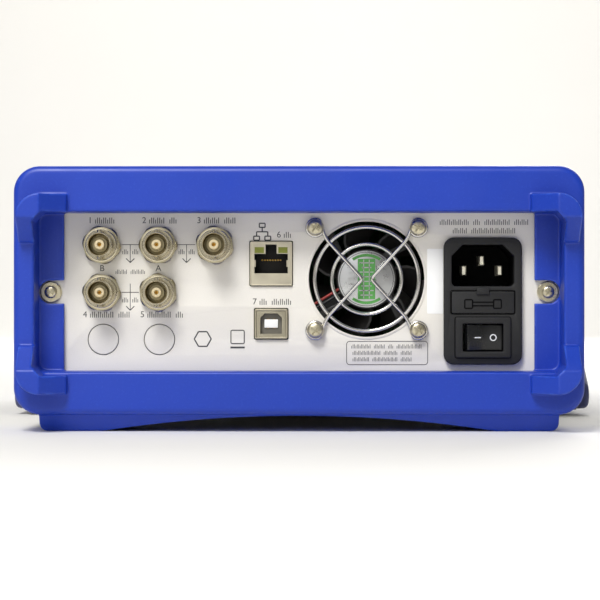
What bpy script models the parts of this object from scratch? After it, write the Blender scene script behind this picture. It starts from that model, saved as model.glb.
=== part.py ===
"""Bench function generator, in metres: +Z up, front panel facing -Y, rear panel facing +Y.

The origin is the centre of the footprint, on the surface that the feet stand on. The case is a sheet
tray and a sheet cover between two rubber bumpers; everything else is fixed to its two end panels."""

import math

import bmesh
import bpy
from mathutils import Vector

GAP = 0.0003  # clearance between pieces that touch

# Sheet case: a tray and a cover that meet halfway up, and a plate across the rear end
CASE_HALF_WIDTH = 0.1065
CASE_BOTTOM = 0.0103
CASE_TOP = 0.0983
CASE_CORNER = 0.004
SHEET = 0.0012
REAR_FACE = 0.134
SHELL_END = REAR_FACE - SHEET - GAP
SEAM_HEIGHT = (CASE_BOTTOM + CASE_TOP) / 2
VENT_SLOTS = 9
VENT_PITCH = 0.0075
VENT_START = 0.030
VENT_HALF = (0.0016, 0.011)
VENT_SETBACK = 0.024

# Bumpers
BUMPER_HALF_WIDTH = 0.1094
BUMPER_BOTTOM = 0.0067
BUMPER_TOP = 0.102
BUMPER_CORNER = 0.010
BUMPER_EDGE = 0.0025
BUMPER_END = 0.150
BUMPER_LIP = 0.115
REAR_OPENING_HALF_WIDTH = 0.1013
REAR_OPENING_BOTTOM = 0.0224
REAR_OPENING_TOP = 0.0848
STRIP_INNER = 0.092
STRIP_THICKNESS = 0.0025
RIB_LENGTH = 0.0187
RIB_WIDTH = 0.0062
RIB_HEIGHT = 0.012
RIB_END_HEIGHT = 0.003
RIB_PLATEAU = 0.009
RIB_INNER_BEND = 0.0036
SKIRT_HALF_WIDTH = 0.100
SKIRT_SETBACK = 0.004
SKIRT_LENGTH = 0.028
ARCH_HALF_WIDTH = 0.076
ARCH_HEIGHT = 0.0061

# Front panel, a moulded tray that fills the front bumper's opening
FRONT_FACE = -0.146
FRONT_WALL = 0.0025
FRONT_HALF_WIDTH = 0.1022
FRONT_BOTTOM = 0.0148
FRONT_TOP = 0.0942
FRONT_OPENING_HALF_WIDTH = FRONT_HALF_WIDTH + GAP
WINDOW_CENTRE = (-0.048, 0.0605)
WINDOW_HALF = (0.044, 0.028)
KNOB_CENTRE = (0.078, 0.074)
KNOB_RADIUS = 0.016
KNOB_FRONT = -0.162
FRONT_SOCKET_HEIGHT = 0.0265
FRONT_SOCKET_COLUMNS = {"front_bnc_a": 0.064, "front_bnc_b": 0.089}
KEY_HALF = (0.007, 0.0038)
SOFT_KEY_HEIGHT = 0.0245
SOFT_KEY_COLUMNS = [-0.078 + 0.0165 * column for column in range(5)]
FUNCTION_KEY_COLUMNS = (0.014, 0.036)
FUNCTION_KEY_ROWS = (0.083, 0.069, 0.055, 0.041)
STANDBY_KEY_CENTRE = (-0.0935, 0.0235)
OUTPUT_KEY_HEIGHT = 0.045

# Rear panel
SOCKET_COLUMNS = (0.0769, 0.0549, 0.0328)
SOCKET_ROWS = (0.0720, 0.0535)
BLANK_CENTRES = {"blanking_disc_left": (0.0764, 0.0352), "blanking_disc_right": (0.0545, 0.0352)}
LAN_CENTRE = (0.0109, 0.0648)
LAN_HALF = (0.0082, 0.0086)
USB_CENTRE = (0.0109, 0.0413)
USB_HALF = (0.00645, 0.00585)
CASE_SCREW_OFFSET = 0.0968
CASE_SCREW_HEIGHT = 0.0537
FAN_CENTRE = (-0.0263, 0.0588)
FAN_HALF = 0.025
FAN_HOLE_RADIUS = 0.0225
FAN_DEPTH = 0.015
FAN_SCREW_OFFSET = 0.020
FAN_BLADES = 7
GUARD_WIRE = 0.00075
GUARD_RINGS = (0.02095, 0.01435)
INLET_CENTRE = (-0.0714, 0.0502)
INLET_FLANGE_HALF = (0.0152, 0.02475)
INLET_BODY_HALF = (0.0135, 0.0230)
INLET_BACK = 0.108
INLET_WELL_CENTRE = 0.064
INLET_WELL_HALF = (0.01205, 0.00805)
DRAWER_CENTRE = 0.04965
DRAWER_HALF = (0.01215, 0.00425)
ROCKER_CENTRE = 0.0360
ROCKER_PIVOT_DEPTH = 0.1335
ROCKER_THROW = math.radians(12)

# Carrying handle, folded back under the case
HANDLE_PIVOT = Vector((0, -0.075, 0.052))
HANDLE_GRIP = Vector((0, 0.025, 0.00575))
HANDLE_INNER = 0.115
HANDLE_OUTER = 0.127
HANDLE_EYE_RADIUS = 0.017
HANDLE_BORE_RADIUS = 0.0083
GRIP_HALF_LENGTH = 0.070
HANDLE_EDGE = 0.0015
PIVOT_RADIUS = 0.016

# Inside: each board as its lower and upper corner across Z, and the height of its underside
POST_RADIUS = 0.003
BOARD_THICKNESS = 0.0016
MAIN_BOARD = ((0.0, -0.120), (0.098, 0.108), 0.0145)
POWER_BOARD = ((-0.100, -0.050), (-0.030, 0.092), 0.008)
CHIPS = ((0.030, -0.080, 0.014), (0.062, -0.040, 0.018), (0.030, 0.010, 0.012), (0.066, 0.050, 0.014))
CAPACITORS = ((-0.040, 0.060), (-0.040, 0.076), (-0.052, 0.076))
CAPACITOR_RADIUS = 0.005
CAPACITOR_HEIGHT = 0.026

PLACE = {
    "X": lambda a, b, depth: Vector((depth, a, b)),
    "Y": lambda a, b, depth: Vector((a, depth, b)),
    "Z": lambda a, b, depth: Vector((a, b, depth)),
}


# ---------------------------------------------------------------- outlines


def arc(centre, radius, start, end, steps):
    """Points along an arc, with its angles in degrees."""
    turns = [math.radians(start + (end - start) * step / steps) for step in range(steps + 1)]
    return [(centre[0] + radius * math.cos(turn), centre[1] + radius * math.sin(turn)) for turn in turns]


def circle(radius, steps=20, centre=(0, 0)):
    return arc(centre, radius, 0, 360, steps)[:-1]


def rounded_box(half, radius, centre=(0, 0), steps=3):
    """A rectangle with round corners; steps=1 gives plain chamfers."""
    points = []
    for quarter, (side_a, side_b) in enumerate(((1, 1), (-1, 1), (-1, -1), (1, -1))):
        corner = (centre[0] + side_a * (half[0] - radius), centre[1] + side_b * (half[1] - radius))
        points += arc(corner, radius, 90 * quarter, 90 * quarter + 90, steps)
    return points


def rectangle(low, high):
    return [(low[0], low[1]), (high[0], low[1]), (high[0], high[1]), (low[0], high[1])]


def shrunk(half, amount):
    return (half[0] - amount, half[1] - amount)


def mirrored(outline):
    return [(-a, b) for a, b in outline]


def plug_outline(half, chamfer, centre, margin=0.0):
    """The power inlet's outline: a rectangle with its two upper corners cut off."""
    a, b = half[0] + margin, half[1] + margin
    corners = [(-a, -b), (a, -b), (a, b - chamfer), (a - chamfer, b), (chamfer - a, b), (-a, b - chamfer)]
    return [(centre[0] + x, centre[1] + z) for x, z in corners]


# ---------------------------------------------------------------- solids


def loft(sections, axis="Y", closed=False):
    """A closed solid through outlines of equal length, given as (depth, outline) along an axis."""
    mesh = bmesh.new()
    rings = [[mesh.verts.new(PLACE[axis](a, b, depth)) for a, b in outline] for depth, outline in sections]
    if closed:
        rings.append(rings[0])
    else:
        mesh.faces.new(rings[0])
        mesh.faces.new(rings[-1])
    for ring, following in zip(rings, rings[1:]):
        for corner in range(len(ring)):
            mesh.faces.new((ring[corner - 1], ring[corner], following[corner], following[corner - 1]))
    bmesh.ops.recalc_face_normals(mesh, faces=mesh.faces)
    return mesh


def prism(outline, low, high, axis="Y"):
    return loft([(low, outline), (high, outline)], axis)


def box(low, high):
    return prism(rectangle((low[0], low[2]), (high[0], high[2])), low[1], high[1])


def turned(profile, steps=20, centre=(0, 0), axis="Y"):
    """A solid of revolution through (depth, radius) points, capped at both ends."""
    return loft([(depth, circle(radius, steps, centre)) for depth, radius in profile], axis)


def wire(points, radius, closed=False, sides=6):
    """A round wire along points that lie in a plane across the Y axis."""
    mesh = bmesh.new()
    forward = Vector((0, 1, 0))
    rings = []
    for index, point in enumerate(points):
        before = points[index - 1] if closed or index else point
        after = points[(index + 1) % len(points)] if closed or index + 1 < len(points) else point
        side = (after - before).normalized().cross(forward)
        turns = [math.tau * step / sides for step in range(sides)]
        ring = [point + radius * (math.cos(turn) * side + math.sin(turn) * forward) for turn in turns]
        rings.append([mesh.verts.new(place) for place in ring])
    if closed:
        rings.append(rings[0])
    else:
        mesh.faces.new(rings[0])
        mesh.faces.new(rings[-1])
    for ring, following in zip(rings, rings[1:]):
        for corner in range(sides):
            mesh.faces.new((ring[corner - 1], ring[corner], following[corner], following[corner - 1]))
    bmesh.ops.recalc_face_normals(mesh, faces=mesh.faces)
    return mesh


def merged(meshes):
    """Several meshes as one, still as separate bodies."""
    whole = bmesh.new()
    for mesh in meshes:
        data = bpy.data.meshes.new("piece")
        mesh.to_mesh(data)
        mesh.free()
        whole.from_mesh(data)
        bpy.data.meshes.remove(data)
    return whole


# ---------------------------------------------------------------- objects


def look(name, colour, roughness, metallic=0.0):
    """A plain Principled material."""
    material = bpy.data.materials.new(name)
    material.use_nodes = True
    shader = material.node_tree.nodes["Principled BSDF"]
    shader.inputs["Base Color"].default_value = (*colour, 1)
    shader.inputs["Roughness"].default_value = roughness
    shader.inputs["Metallic"].default_value = metallic
    material.diffuse_color = (*colour, 1)
    return material


def add_piece(name, mesh, material, location=(0, 0, 0), parent=None):
    data = bpy.data.meshes.new(name)
    mesh.to_mesh(data)
    mesh.free()
    data.materials.append(material)
    data.shade_smooth()
    data.set_sharp_from_angle(angle=math.radians(35))
    piece = bpy.data.objects.new(name, data)
    piece.location = location
    piece.parent = parent
    bpy.context.scene.collection.objects.link(piece)
    return piece


def combine(piece, operation, mesh):
    """Adds a mesh to a piece (UNION) or cuts it away (DIFFERENCE), in the piece's own coordinates."""
    data = bpy.data.meshes.new("tool")
    mesh.to_mesh(data)
    mesh.free()
    tool = bpy.data.objects.new(f"{piece.name}_{operation.lower()}_{len(piece.modifiers)}", data)
    tool.parent = piece
    tool.hide_render = True
    tool.display_type = "WIRE"
    bpy.context.scene.collection.objects.link(tool)
    modifier = piece.modifiers.new(operation.title(), "BOOLEAN")
    modifier.operation = operation
    modifier.object = tool
    modifier.solver = "EXACT"
    modifier.use_self = True


def add_pivot(name, location):
    """An empty that marks a joint's place."""
    pivot = bpy.data.objects.new(name, None)
    pivot.location = location
    bpy.context.scene.collection.objects.link(pivot)
    return pivot


# ---------------------------------------------------------------- case


def case_section(margin=0.0, steps=3):
    """The case's outline across its length, grown by a margin."""
    half = (CASE_HALF_WIDTH + margin, (CASE_TOP - CASE_BOTTOM) / 2 + margin)
    return rounded_box(half, CASE_CORNER + margin, (0, SEAM_HEIGHT), steps)


def case_shell(name, material, low, high):
    """One half of the case: the part of a rectangular tube between two heights."""
    shell = add_piece(name, prism(case_section(), -SHELL_END, SHELL_END), material)
    reach = 2 * CASE_HALF_WIDTH
    inside = prism(case_section(-SHEET), -reach, reach)
    combine(shell, "DIFFERENCE", inside)
    combine(shell, "DIFFERENCE", box((-reach, -reach, low), (reach, reach, high)))
    return shell


def cut_vents(shell, height):
    """A row of upright slots through both sides of a shell, towards its rear end."""
    slots = []
    for index in range(VENT_SLOTS):
        depth = VENT_START + VENT_PITCH * index
        outline = rounded_box(VENT_HALF, 0.0008, (depth, height), 1)
        slots.append(prism(outline, -2 * CASE_HALF_WIDTH, 2 * CASE_HALF_WIDTH, "X"))
    combine(shell, "DIFFERENCE", merged(slots))


def build_case(materials):
    tray = case_shell("bottom_chassis", materials["sheet"], SEAM_HEIGHT - GAP / 2, CASE_TOP * 2)
    cut_vents(tray, CASE_BOTTOM + VENT_SETBACK)
    cover = case_shell("top_cover", materials["sheet"], -CASE_TOP, SEAM_HEIGHT + GAP / 2)
    cut_vents(cover, CASE_TOP - VENT_SETBACK)


# ---------------------------------------------------------------- bumpers


def bumper_section(inset=0.0):
    half = (BUMPER_HALF_WIDTH - inset, (BUMPER_TOP - BUMPER_BOTTOM) / 2 - inset)
    return rounded_box(half, BUMPER_CORNER - inset, (0, (BUMPER_TOP + BUMPER_BOTTOM) / 2), 6)


def opening_section(half_width, low, high, radius=0.0035):
    return rounded_box((half_width, (high - low) / 2), radius, (0, (high + low) / 2))


def skirt_outline():
    """The feet under a bumper, with a shallow arch between them."""
    radius = (ARCH_HALF_WIDTH**2 + ARCH_HEIGHT**2) / (2 * ARCH_HEIGHT)
    spread = math.degrees(math.asin(ARCH_HALF_WIDTH / radius))
    arch = arc((0, ARCH_HEIGHT - radius), radius, 90 - spread, 90 + spread, 12)
    left = arc((-SKIRT_HALF_WIDTH + 0.003, 0.003), 0.003, 270, 180, 3)
    right = arc((SKIRT_HALF_WIDTH - 0.003, 0.003), 0.003, 360, 270, 3)
    top = BUMPER_BOTTOM + 0.0015
    return [(SKIRT_HALF_WIDTH, top), *right, *arch, *left, (-SKIRT_HALF_WIDTH, top)]


def bumper_blank(name, material, side):
    """A block with rounded outer edges and a pair of feet, before its pocket is cut."""
    end_sections = [
        (side * BUMPER_LIP, bumper_section(BUMPER_EDGE / 4)),
        (side * (BUMPER_LIP + BUMPER_EDGE / 4), bumper_section()),
        (side * (BUMPER_END - BUMPER_EDGE), bumper_section()),
        (side * (BUMPER_END - BUMPER_EDGE * 0.3), bumper_section(BUMPER_EDGE * 0.3)),
        (side * BUMPER_END, bumper_section(BUMPER_EDGE)),
    ]
    blank = add_piece(name, loft(end_sections), material)
    skirt_end = BUMPER_END - SKIRT_SETBACK
    skirt = prism(skirt_outline(), side * (skirt_end - SKIRT_LENGTH), side * skirt_end)
    combine(blank, "UNION", skirt)
    return blank


def rib_outline(side_x, side_z):
    """The outline of an L-shaped rib, at one corner of the rear opening."""
    edge_x = REAR_OPENING_HALF_WIDTH
    edge_z = REAR_OPENING_TOP if side_z > 0 else -REAR_OPENING_BOTTOM
    outer_x = edge_x + RIB_WIDTH
    outer_z = edge_z + RIB_WIDTH
    bend = 0.009
    corner = arc((outer_x - bend, outer_z - bend), bend, 0, 90, 4)
    outline = [
        (edge_x, outer_z - RIB_LENGTH),
        (outer_x, outer_z - RIB_LENGTH),
        *corner,
        (outer_x - RIB_LENGTH, outer_z),
        (outer_x - RIB_LENGTH, edge_z),
        (edge_x - RIB_INNER_BEND, edge_z),
        (edge_x, edge_z - RIB_INNER_BEND),
    ]
    return [(side_x * x, side_z * z) for x, z in outline]


def rib_ramps(side_x, side_z):
    """The two wedges that slope an L-shaped rib's arms down to their free ends."""
    outer_x = REAR_OPENING_HALF_WIDTH + RIB_WIDTH
    outer_z = RIB_WIDTH + (REAR_OPENING_TOP if side_z > 0 else -REAR_OPENING_BOTTOM)
    top = BUMPER_END + RIB_HEIGHT
    low = BUMPER_END + RIB_END_HEIGHT
    reach = 0.001
    slope = (top - low) / (RIB_LENGTH - RIB_PLATEAU)
    past = low - reach * slope

    def wedge(outer):
        start, end = outer - RIB_PLATEAU, outer - RIB_LENGTH - reach
        return [(start, top), (start, top + reach), (end, top + reach), (end, past)]

    upright = [(y, side_z * z) for z, y in wedge(outer_z)]
    level = [(side_x * x, y) for x, y in wedge(outer_x)]
    across_x = sorted((side_x * (outer_x + reach), side_x * (outer_x - RIB_WIDTH - reach)))
    across_z = sorted((side_z * (outer_z + reach), side_z * (outer_z - RIB_WIDTH - reach)))
    return [prism(upright, *across_x, "X"), prism(level, *across_z, "Z")]


def build_rear_bumper(material):
    bumper = bumper_blank("rear_bumper", material, 1)
    corners = [(side_x, side_z) for side_x in (-1, 1) for side_z in (-1, 1)]
    ribs = [prism(rib_outline(*corner), BUMPER_END - 0.002, BUMPER_END + RIB_HEIGHT) for corner in corners]
    combine(bumper, "UNION", merged(ribs))
    combine(bumper, "DIFFERENCE", merged([ramp for corner in corners for ramp in rib_ramps(*corner)]))
    strip_face = REAR_FACE + GAP + STRIP_THICKNESS
    opening = (REAR_OPENING_BOTTOM, REAR_OPENING_TOP)
    combine(bumper, "DIFFERENCE", prism(case_section(GAP), 0, REAR_FACE + GAP))
    full = opening_section(REAR_OPENING_HALF_WIDTH, *opening)
    combine(bumper, "DIFFERENCE", prism(full, strip_face, 2 * BUMPER_END))
    between_strips = opening_section(STRIP_INNER, *opening, 0.0005)
    combine(bumper, "DIFFERENCE", prism(between_strips, REAR_FACE - GAP, strip_face + GAP))
    notches = []
    for side in (-1, 1):
        half = 0.0045
        round_end = arc((CASE_SCREW_OFFSET, CASE_SCREW_HEIGHT), half, -90, 90, 6)
        inner = STRIP_INNER - 0.001
        outline = [(inner, CASE_SCREW_HEIGHT - half), *round_end, (inner, CASE_SCREW_HEIGHT + half)]
        outline = outline if side > 0 else mirrored(outline)
        notches.append(prism(outline, REAR_FACE - GAP, strip_face + GAP))
    combine(bumper, "DIFFERENCE", merged(notches))


def build_front_bumper(material):
    bumper = bumper_blank("front_bumper", material, -1)
    combine(bumper, "DIFFERENCE", prism(case_section(GAP), -SHELL_END - GAP, 0))
    opening = opening_section(FRONT_OPENING_HALF_WIDTH, FRONT_BOTTOM - GAP, FRONT_TOP + GAP, 0.006)
    combine(bumper, "DIFFERENCE", prism(opening, -2 * BUMPER_END, 0))


# ---------------------------------------------------------------- sockets and screws


def coaxial_socket():
    """A bayonet socket that points along +Y, from the outer face of its panel at Y = 0."""
    shank, collar, barrel, bore, insulator, contact = 0.0045, 0.0061, 0.0048, 0.00415, 0.0024, 0.00075
    profile = [
        (-0.0078, shank),
        (GAP, shank),
        (GAP, collar),
        (0.0045, collar),
        (0.0045, barrel),
        (0.0120, barrel),
        (0.0120, bore),
        (0.0040, bore),
        (0.0040, insulator),
        (0.0105, insulator),
        (0.0105, contact),
        (0.0070, contact),
    ]
    return turned(profile, 14)


def coaxial_extras(turn):
    """The hexagonal nut and the two bayonet lugs of a coaxial socket."""
    across_corners = 0.014 / math.sqrt(3)
    nut = prism(arc((0, 0), across_corners, turn, turn + 360, 6)[:-1], 2 * GAP, 0.0028)
    lugs = [box((-0.0009, 0.0085, low), (0.0009, 0.0103, low + 0.0014)) for low in (-0.0058, 0.0044)]
    return merged([nut, *lugs])


def add_coaxial_socket(name, material, column, height, face, side, turn):
    socket = add_piece(name, coaxial_socket(), material, (column, face, height))
    socket.rotation_euler = (0, 0, 0 if side > 0 else math.pi)
    combine(socket, "UNION", coaxial_extras(turn))


def screw(head_radius, head_height, shank_radius, shank_length, washer_radius=None):
    """A pan-head screw along Y: its head stands on Y = 0 and its shank runs towards -Y."""
    profile = [(-shank_length, shank_radius), (GAP, shank_radius)]
    base = GAP
    if washer_radius:
        base = GAP + 0.0008
        profile += [(GAP, washer_radius), (base, washer_radius)]
    profile += [
        (base, head_radius),
        (base + head_height * 0.6, head_radius),
        (base + head_height, head_radius * 0.6),
    ]
    return turned(profile, 12)


def add_case_screws(material):
    for name, side in (("case_screw_left", 1), ("case_screw_right", -1)):
        place = (side * CASE_SCREW_OFFSET, REAR_FACE, CASE_SCREW_HEIGHT)
        add_piece(name, screw(0.0025, 0.0016, 0.0014, 0.008, 0.0042), material, place)


# ---------------------------------------------------------------- rear panel


def build_rear_panel(material):
    panel = add_piece("rear_panel", prism(case_section(), REAR_FACE - SHEET, REAR_FACE), material)
    low, high = REAR_FACE - 2 * SHEET, REAR_FACE + SHEET
    holes = [circle(0.0045 + GAP, 12, place) for place in socket_places()]
    holes += [circle(0.0061, 16, place) for place in BLANK_CENTRES.values()]
    holes += [circle(0.0014 + GAP, 10, (side * CASE_SCREW_OFFSET, CASE_SCREW_HEIGHT)) for side in (-1, 1)]
    holes += [circle(0.0014 + GAP, 10, place) for place in fan_screw_places()]
    holes.append(circle(FAN_HOLE_RADIUS, 30, FAN_CENTRE))
    holes.append(rounded_box(shrunk(LAN_HALF, -GAP), 0.0006, LAN_CENTRE, 1))
    holes.append(rounded_box(shrunk(USB_HALF, -GAP), 0.0006, USB_CENTRE, 1))
    holes.append(rounded_box(shrunk(INLET_BODY_HALF, -GAP), 0.002, INLET_CENTRE, 2))
    combine(panel, "DIFFERENCE", merged([prism(hole, low, high) for hole in holes]))


def socket_places():
    upper = [(column, SOCKET_ROWS[0]) for column in SOCKET_COLUMNS]
    lower = [(column, SOCKET_ROWS[1]) for column in SOCKET_COLUMNS[:2]]
    return upper + lower


def fan_screw_places():
    offsets = [(-1, 1), (1, 1), (-1, -1), (1, -1)]
    return [(FAN_CENTRE[0] + a * FAN_SCREW_OFFSET, FAN_CENTRE[1] + b * FAN_SCREW_OFFSET) for a, b in offsets]


def build_blanking_discs(material):
    profile = [
        (-SHEET - 0.0015, 0.0075),
        (-SHEET - GAP, 0.0075),
        (-SHEET - GAP, 0.0058),
        (0.0, 0.0058),
    ]
    for name, (column, height) in BLANK_CENTRES.items():
        add_piece(name, turned(profile, 16), material, (column, REAR_FACE, height))


def build_lan_jack(material):
    low, high = -0.0148, 0.0010
    jack = add_piece("lan_jack", prism(rounded_box(LAN_HALF, 0.0006, steps=1), low, high), material)
    jack.location = (LAN_CENTRE[0], REAR_FACE, LAN_CENTRE[1])
    key_half, key_top = 0.00235, 0.0058
    main_half, main_top, main_low = 0.00645, 0.0036, -0.0060
    opening = [
        (-main_half, main_low),
        (main_half, main_low),
        (main_half, main_top),
        (key_half, main_top),
        (key_half, key_top),
        (-key_half, key_top),
        (-key_half, main_top),
        (-main_half, main_top),
    ]
    combine(jack, "DIFFERENCE", prism(opening, -0.0125, 2 * high))


def build_usb_socket(material):
    low, high = -0.0128, 0.0012
    shell = prism(rounded_box(USB_HALF, 0.0006, steps=1), low, high)
    socket = add_piece("usb_device_socket", shell, material)
    socket.location = (USB_CENTRE[0], REAR_FACE, USB_CENTRE[1])
    well = plug_outline((0.0043, 0.0039), 0.0016, (0, 0))
    combine(socket, "DIFFERENCE", prism(well, -0.0105, 2 * high))
    combine(socket, "UNION", box((-0.00265, -0.0115, -0.0017), (0.00265, -0.0008, 0.0017)))


# ---------------------------------------------------------------- fan


def build_fan(materials):
    back = REAR_FACE - SHEET - GAP
    front = back - FAN_DEPTH
    centre = (FAN_CENTRE[0], 0, FAN_CENTRE[1])
    square = rounded_box((FAN_HALF, FAN_HALF), 0.004, steps=2)
    frame = add_piece("fan_frame", prism(square, front, back), materials["black"], centre)
    bore = prism(circle(0.0235, 36), 0, 2 * back)
    holes = [prism(circle(0.0018, 10, place), 0, 2 * back) for place in fan_screw_offsets()]
    combine(frame, "DIFFERENCE", merged([bore, *holes]))
    hub = turned([(back - 0.0032, 0.0118), (back - 0.0002, 0.0118)], 24)
    combine(frame, "UNION", hub)
    combine(frame, "UNION", merged([fan_strut(turn, back) for turn in (38, 128, 218, 308)]))
    impeller_back = back - 0.0038
    sections = [(impeller_back - 0.0105 * step / 3, impeller_outline(10 * step)) for step in range(4)]
    pivot = add_pivot("fan_axis", centre)
    add_piece("fan_impeller", loft(sections), materials["black"], parent=pivot)


def fan_screw_offsets():
    reach = FAN_SCREW_OFFSET
    return [(-reach, reach), (reach, reach), (-reach, -reach), (reach, -reach)]


def fan_strut(turn, back):
    """One slanted bar from the fan's hub to its rim."""
    start, end = 0.0108, 0.0242
    lean = math.radians(14)
    turn = math.radians(turn)
    inner = Vector((start * math.cos(turn), start * math.sin(turn)))
    outer = Vector((end * math.cos(turn + lean), end * math.sin(turn + lean)))
    side = (outer - inner).normalized().orthogonal() * 0.0013
    outline = [inner - side, outer - side, outer + side, inner + side]
    return prism([tuple(point) for point in outline], back - 0.0025, back - 0.0005)


def impeller_outline(twist):
    """The impeller across its axis: a hub with straight blades, turned by an angle in degrees."""
    hub, tip, width = 0.0115, 0.0220, 5.0
    points = []
    for blade in range(FAN_BLADES):
        turn = twist + 360 * blade / FAN_BLADES
        spread = width * 0.6
        angles = ((turn - width, hub), (turn - spread, tip), (turn + spread, tip), (turn + width, hub))
        points += [polar(angle, radius) for angle, radius in angles]
        gap = 360 / FAN_BLADES - 2 * width
        points += [polar(turn + width + gap * step / 3, hub) for step in (1, 2)]
    return points


def polar(angle, radius):
    return (radius * math.cos(math.radians(angle)), radius * math.sin(math.radians(angle)))


def build_fan_guard(material):
    """Two welded rings on two bent wires, with an eye at each corner."""
    eye_depth = GAP + GUARD_WIRE
    ring_depth = eye_depth + 1.3 * GUARD_WIRE
    place = (FAN_CENTRE[0], REAR_FACE, FAN_CENTRE[1])

    def flat(points, depth):
        return [Vector((a, depth, b)) for a, b in points]

    paths = [flat(circle(radius - GUARD_WIRE, 26), ring_depth) for radius in GUARD_RINGS]
    rings = [wire(path, GUARD_WIRE, True) for path in paths]
    guard = add_piece("fan_guard", rings[0], material, place)
    eyes = [circle(0.0032, 10, offset) for offset in fan_screw_offsets()]
    for side in (-1, 1):
        path = flat(guard_wire_path(side), eye_depth)
        combine(guard, "UNION", wire(path, GUARD_WIRE))
    combine(guard, "UNION", rings[1])
    combine(guard, "UNION", merged([wire(flat(eye, eye_depth), GUARD_WIRE, True) for eye in eyes]))


def guard_wire_path(side):
    """From one corner's eye in towards the centre and out again to the eye below it."""
    corner = Vector((side * FAN_SCREW_OFFSET, FAN_SCREW_OFFSET))
    tip = Vector((side * 0.0012, 0))
    toward = (tip - corner).normalized()
    start = corner + toward * 0.0029
    bend = tip - toward * 0.006
    upper = [start]
    for step in range(4):
        share = step / 6
        mirror_bend = Vector((bend.x, -bend.y))
        upper.append(bend * (1 - share) ** 2 + tip * 2 * share * (1 - share) + mirror_bend * share**2)
    lower = [Vector((point.x, -point.y)) for point in reversed(upper[:-1])]
    return [tuple(point) for point in upper + lower]


def build_fan_screws(material):
    for index, (column, height) in enumerate(fan_screw_places(), start=1):
        place = (column, REAR_FACE + GAP + 2 * GUARD_WIRE, height)
        add_piece(f"fan_screw_{index}", screw(0.0033, 0.0021, 0.0014, 0.016), material, place)


# ---------------------------------------------------------------- power inlet


def build_inlet(materials):
    body = INLET_BODY_HALF
    flange = INLET_FLANGE_HALF
    face = REAR_FACE + GAP + 0.0023
    sections = [
        (INLET_BACK, rounded_box(body, 0.0018, INLET_CENTRE)),
        (REAR_FACE + GAP, rounded_box(body, 0.0018, INLET_CENTRE)),
        (REAR_FACE + GAP, rounded_box(flange, 0.004, INLET_CENTRE)),
        (face - 0.0006, rounded_box(flange, 0.004, INLET_CENTRE)),
        (face, rounded_box(shrunk(flange, 0.0006), 0.0034, INLET_CENTRE)),
    ]
    housing = add_piece("inlet_housing", loft(sections), materials["inlet"])
    rocker_place = (INLET_CENTRE[0], ROCKER_CENTRE)
    rim = prism(rounded_box((0.01075, 0.00785), 0.0008, rocker_place, 1), face - 0.001, face + 0.0012)
    combine(housing, "UNION", rim)
    well = plug_outline(INLET_WELL_HALF, 0.0043, (INLET_CENTRE[0], INLET_WELL_CENTRE))
    drawer = rounded_box(shrunk(DRAWER_HALF, -GAP), 0.0006, (INLET_CENTRE[0], DRAWER_CENTRE), 1)
    window = rounded_box((0.00785, 0.0054), 0.0005, rocker_place, 1)
    cuts = [prism(outline, 0, 2 * face) for outline in (well, drawer, window)]
    combine(housing, "DIFFERENCE", merged(cuts))
    build_inlet_pins(materials["brass"])
    build_fuse_drawer(materials, face)
    build_rocker(materials["rocker"])


def build_inlet_pins(material):
    """The three blades of the mains inlet on their terminal block."""
    centre = INLET_CENTRE[0]
    block = plug_outline(INLET_WELL_HALF, 0.0043, (centre, INLET_WELL_CENTRE), -GAP)
    pins = add_piece("inlet_pins", prism(block, INLET_BACK + GAP, 0.117), material)
    blades = []
    for column, height in ((-0.007, 0.0621), (0.007, 0.0621), (0.0, 0.0660)):
        low = (centre + column - 0.001, INLET_BACK - 0.007, height - 0.002)
        high = (centre + column + 0.001, 0.1305, height + 0.002)
        blades.append(box(low, high))
    combine(pins, "UNION", merged(blades))


def build_fuse_drawer(materials, face):
    """A sliding drawer with a trough that is open at the top, and the fuse that lies in it."""
    centre = Vector((INLET_CENTRE[0], 0, DRAWER_CENTRE))
    body = rounded_box(DRAWER_HALF, 0.0006, steps=1)
    block = prism(body, INLET_BACK + 0.003, face + 0.0006)
    drawer = add_piece("fuse_drawer", block, materials["inlet"], centre)
    depth = 0.124
    combine(drawer, "UNION", box((-0.0027, face - 0.0005, 0.0012), (0.0027, face + 0.0014, 0.0040)))
    trough = box((-0.0106, depth - 0.0029, -0.0029), (0.0106, depth + 0.0029, 0.010))
    combine(drawer, "DIFFERENCE", trough)
    fuse = turned([(-0.010, 0.0026), (0.010, 0.0026)], 16, (depth, 0), "X")
    add_piece("fuse", fuse, materials["glass"], parent=drawer)


def build_rocker(material):
    """The mains switch, resting at one end of its throw about an upright pivot."""
    half, face, rise, back = 0.0070, 0.0020, 0.0015, 0.0050
    outline = [
        (-half, face + rise),
        (-half, -0.0010),
        (-half / 2, -back),
        (half / 2, -back),
        (half, -0.0010),
        (half, face + rise),
        (0, face),
    ]
    place = (INLET_CENTRE[0], ROCKER_PIVOT_DEPTH, ROCKER_CENTRE)
    rocker = add_piece("power_rocker", prism(outline, -0.0050, 0.0050, "Z"), material, place)
    rocker.rotation_euler = (0, 0, ROCKER_THROW)


# ---------------------------------------------------------------- front panel


def key_list():
    """Each key's name, place and half size."""
    keys = {f"soft_key_{index}": ((column, SOFT_KEY_HEIGHT), KEY_HALF)
            for index, column in enumerate(SOFT_KEY_COLUMNS, start=1)}
    places = [(column, row) for row in FUNCTION_KEY_ROWS for column in FUNCTION_KEY_COLUMNS]
    for index, place in enumerate(places, start=1):
        keys[f"function_key_{index}"] = (place, KEY_HALF)
    for name, column in zip(("output_key_a", "output_key_b"), FRONT_SOCKET_COLUMNS.values()):
        keys[name] = ((column, OUTPUT_KEY_HEIGHT), KEY_HALF)
    keys["standby_key"] = (STANDBY_KEY_CENTRE, (0.005, 0.005))
    return keys


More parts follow.
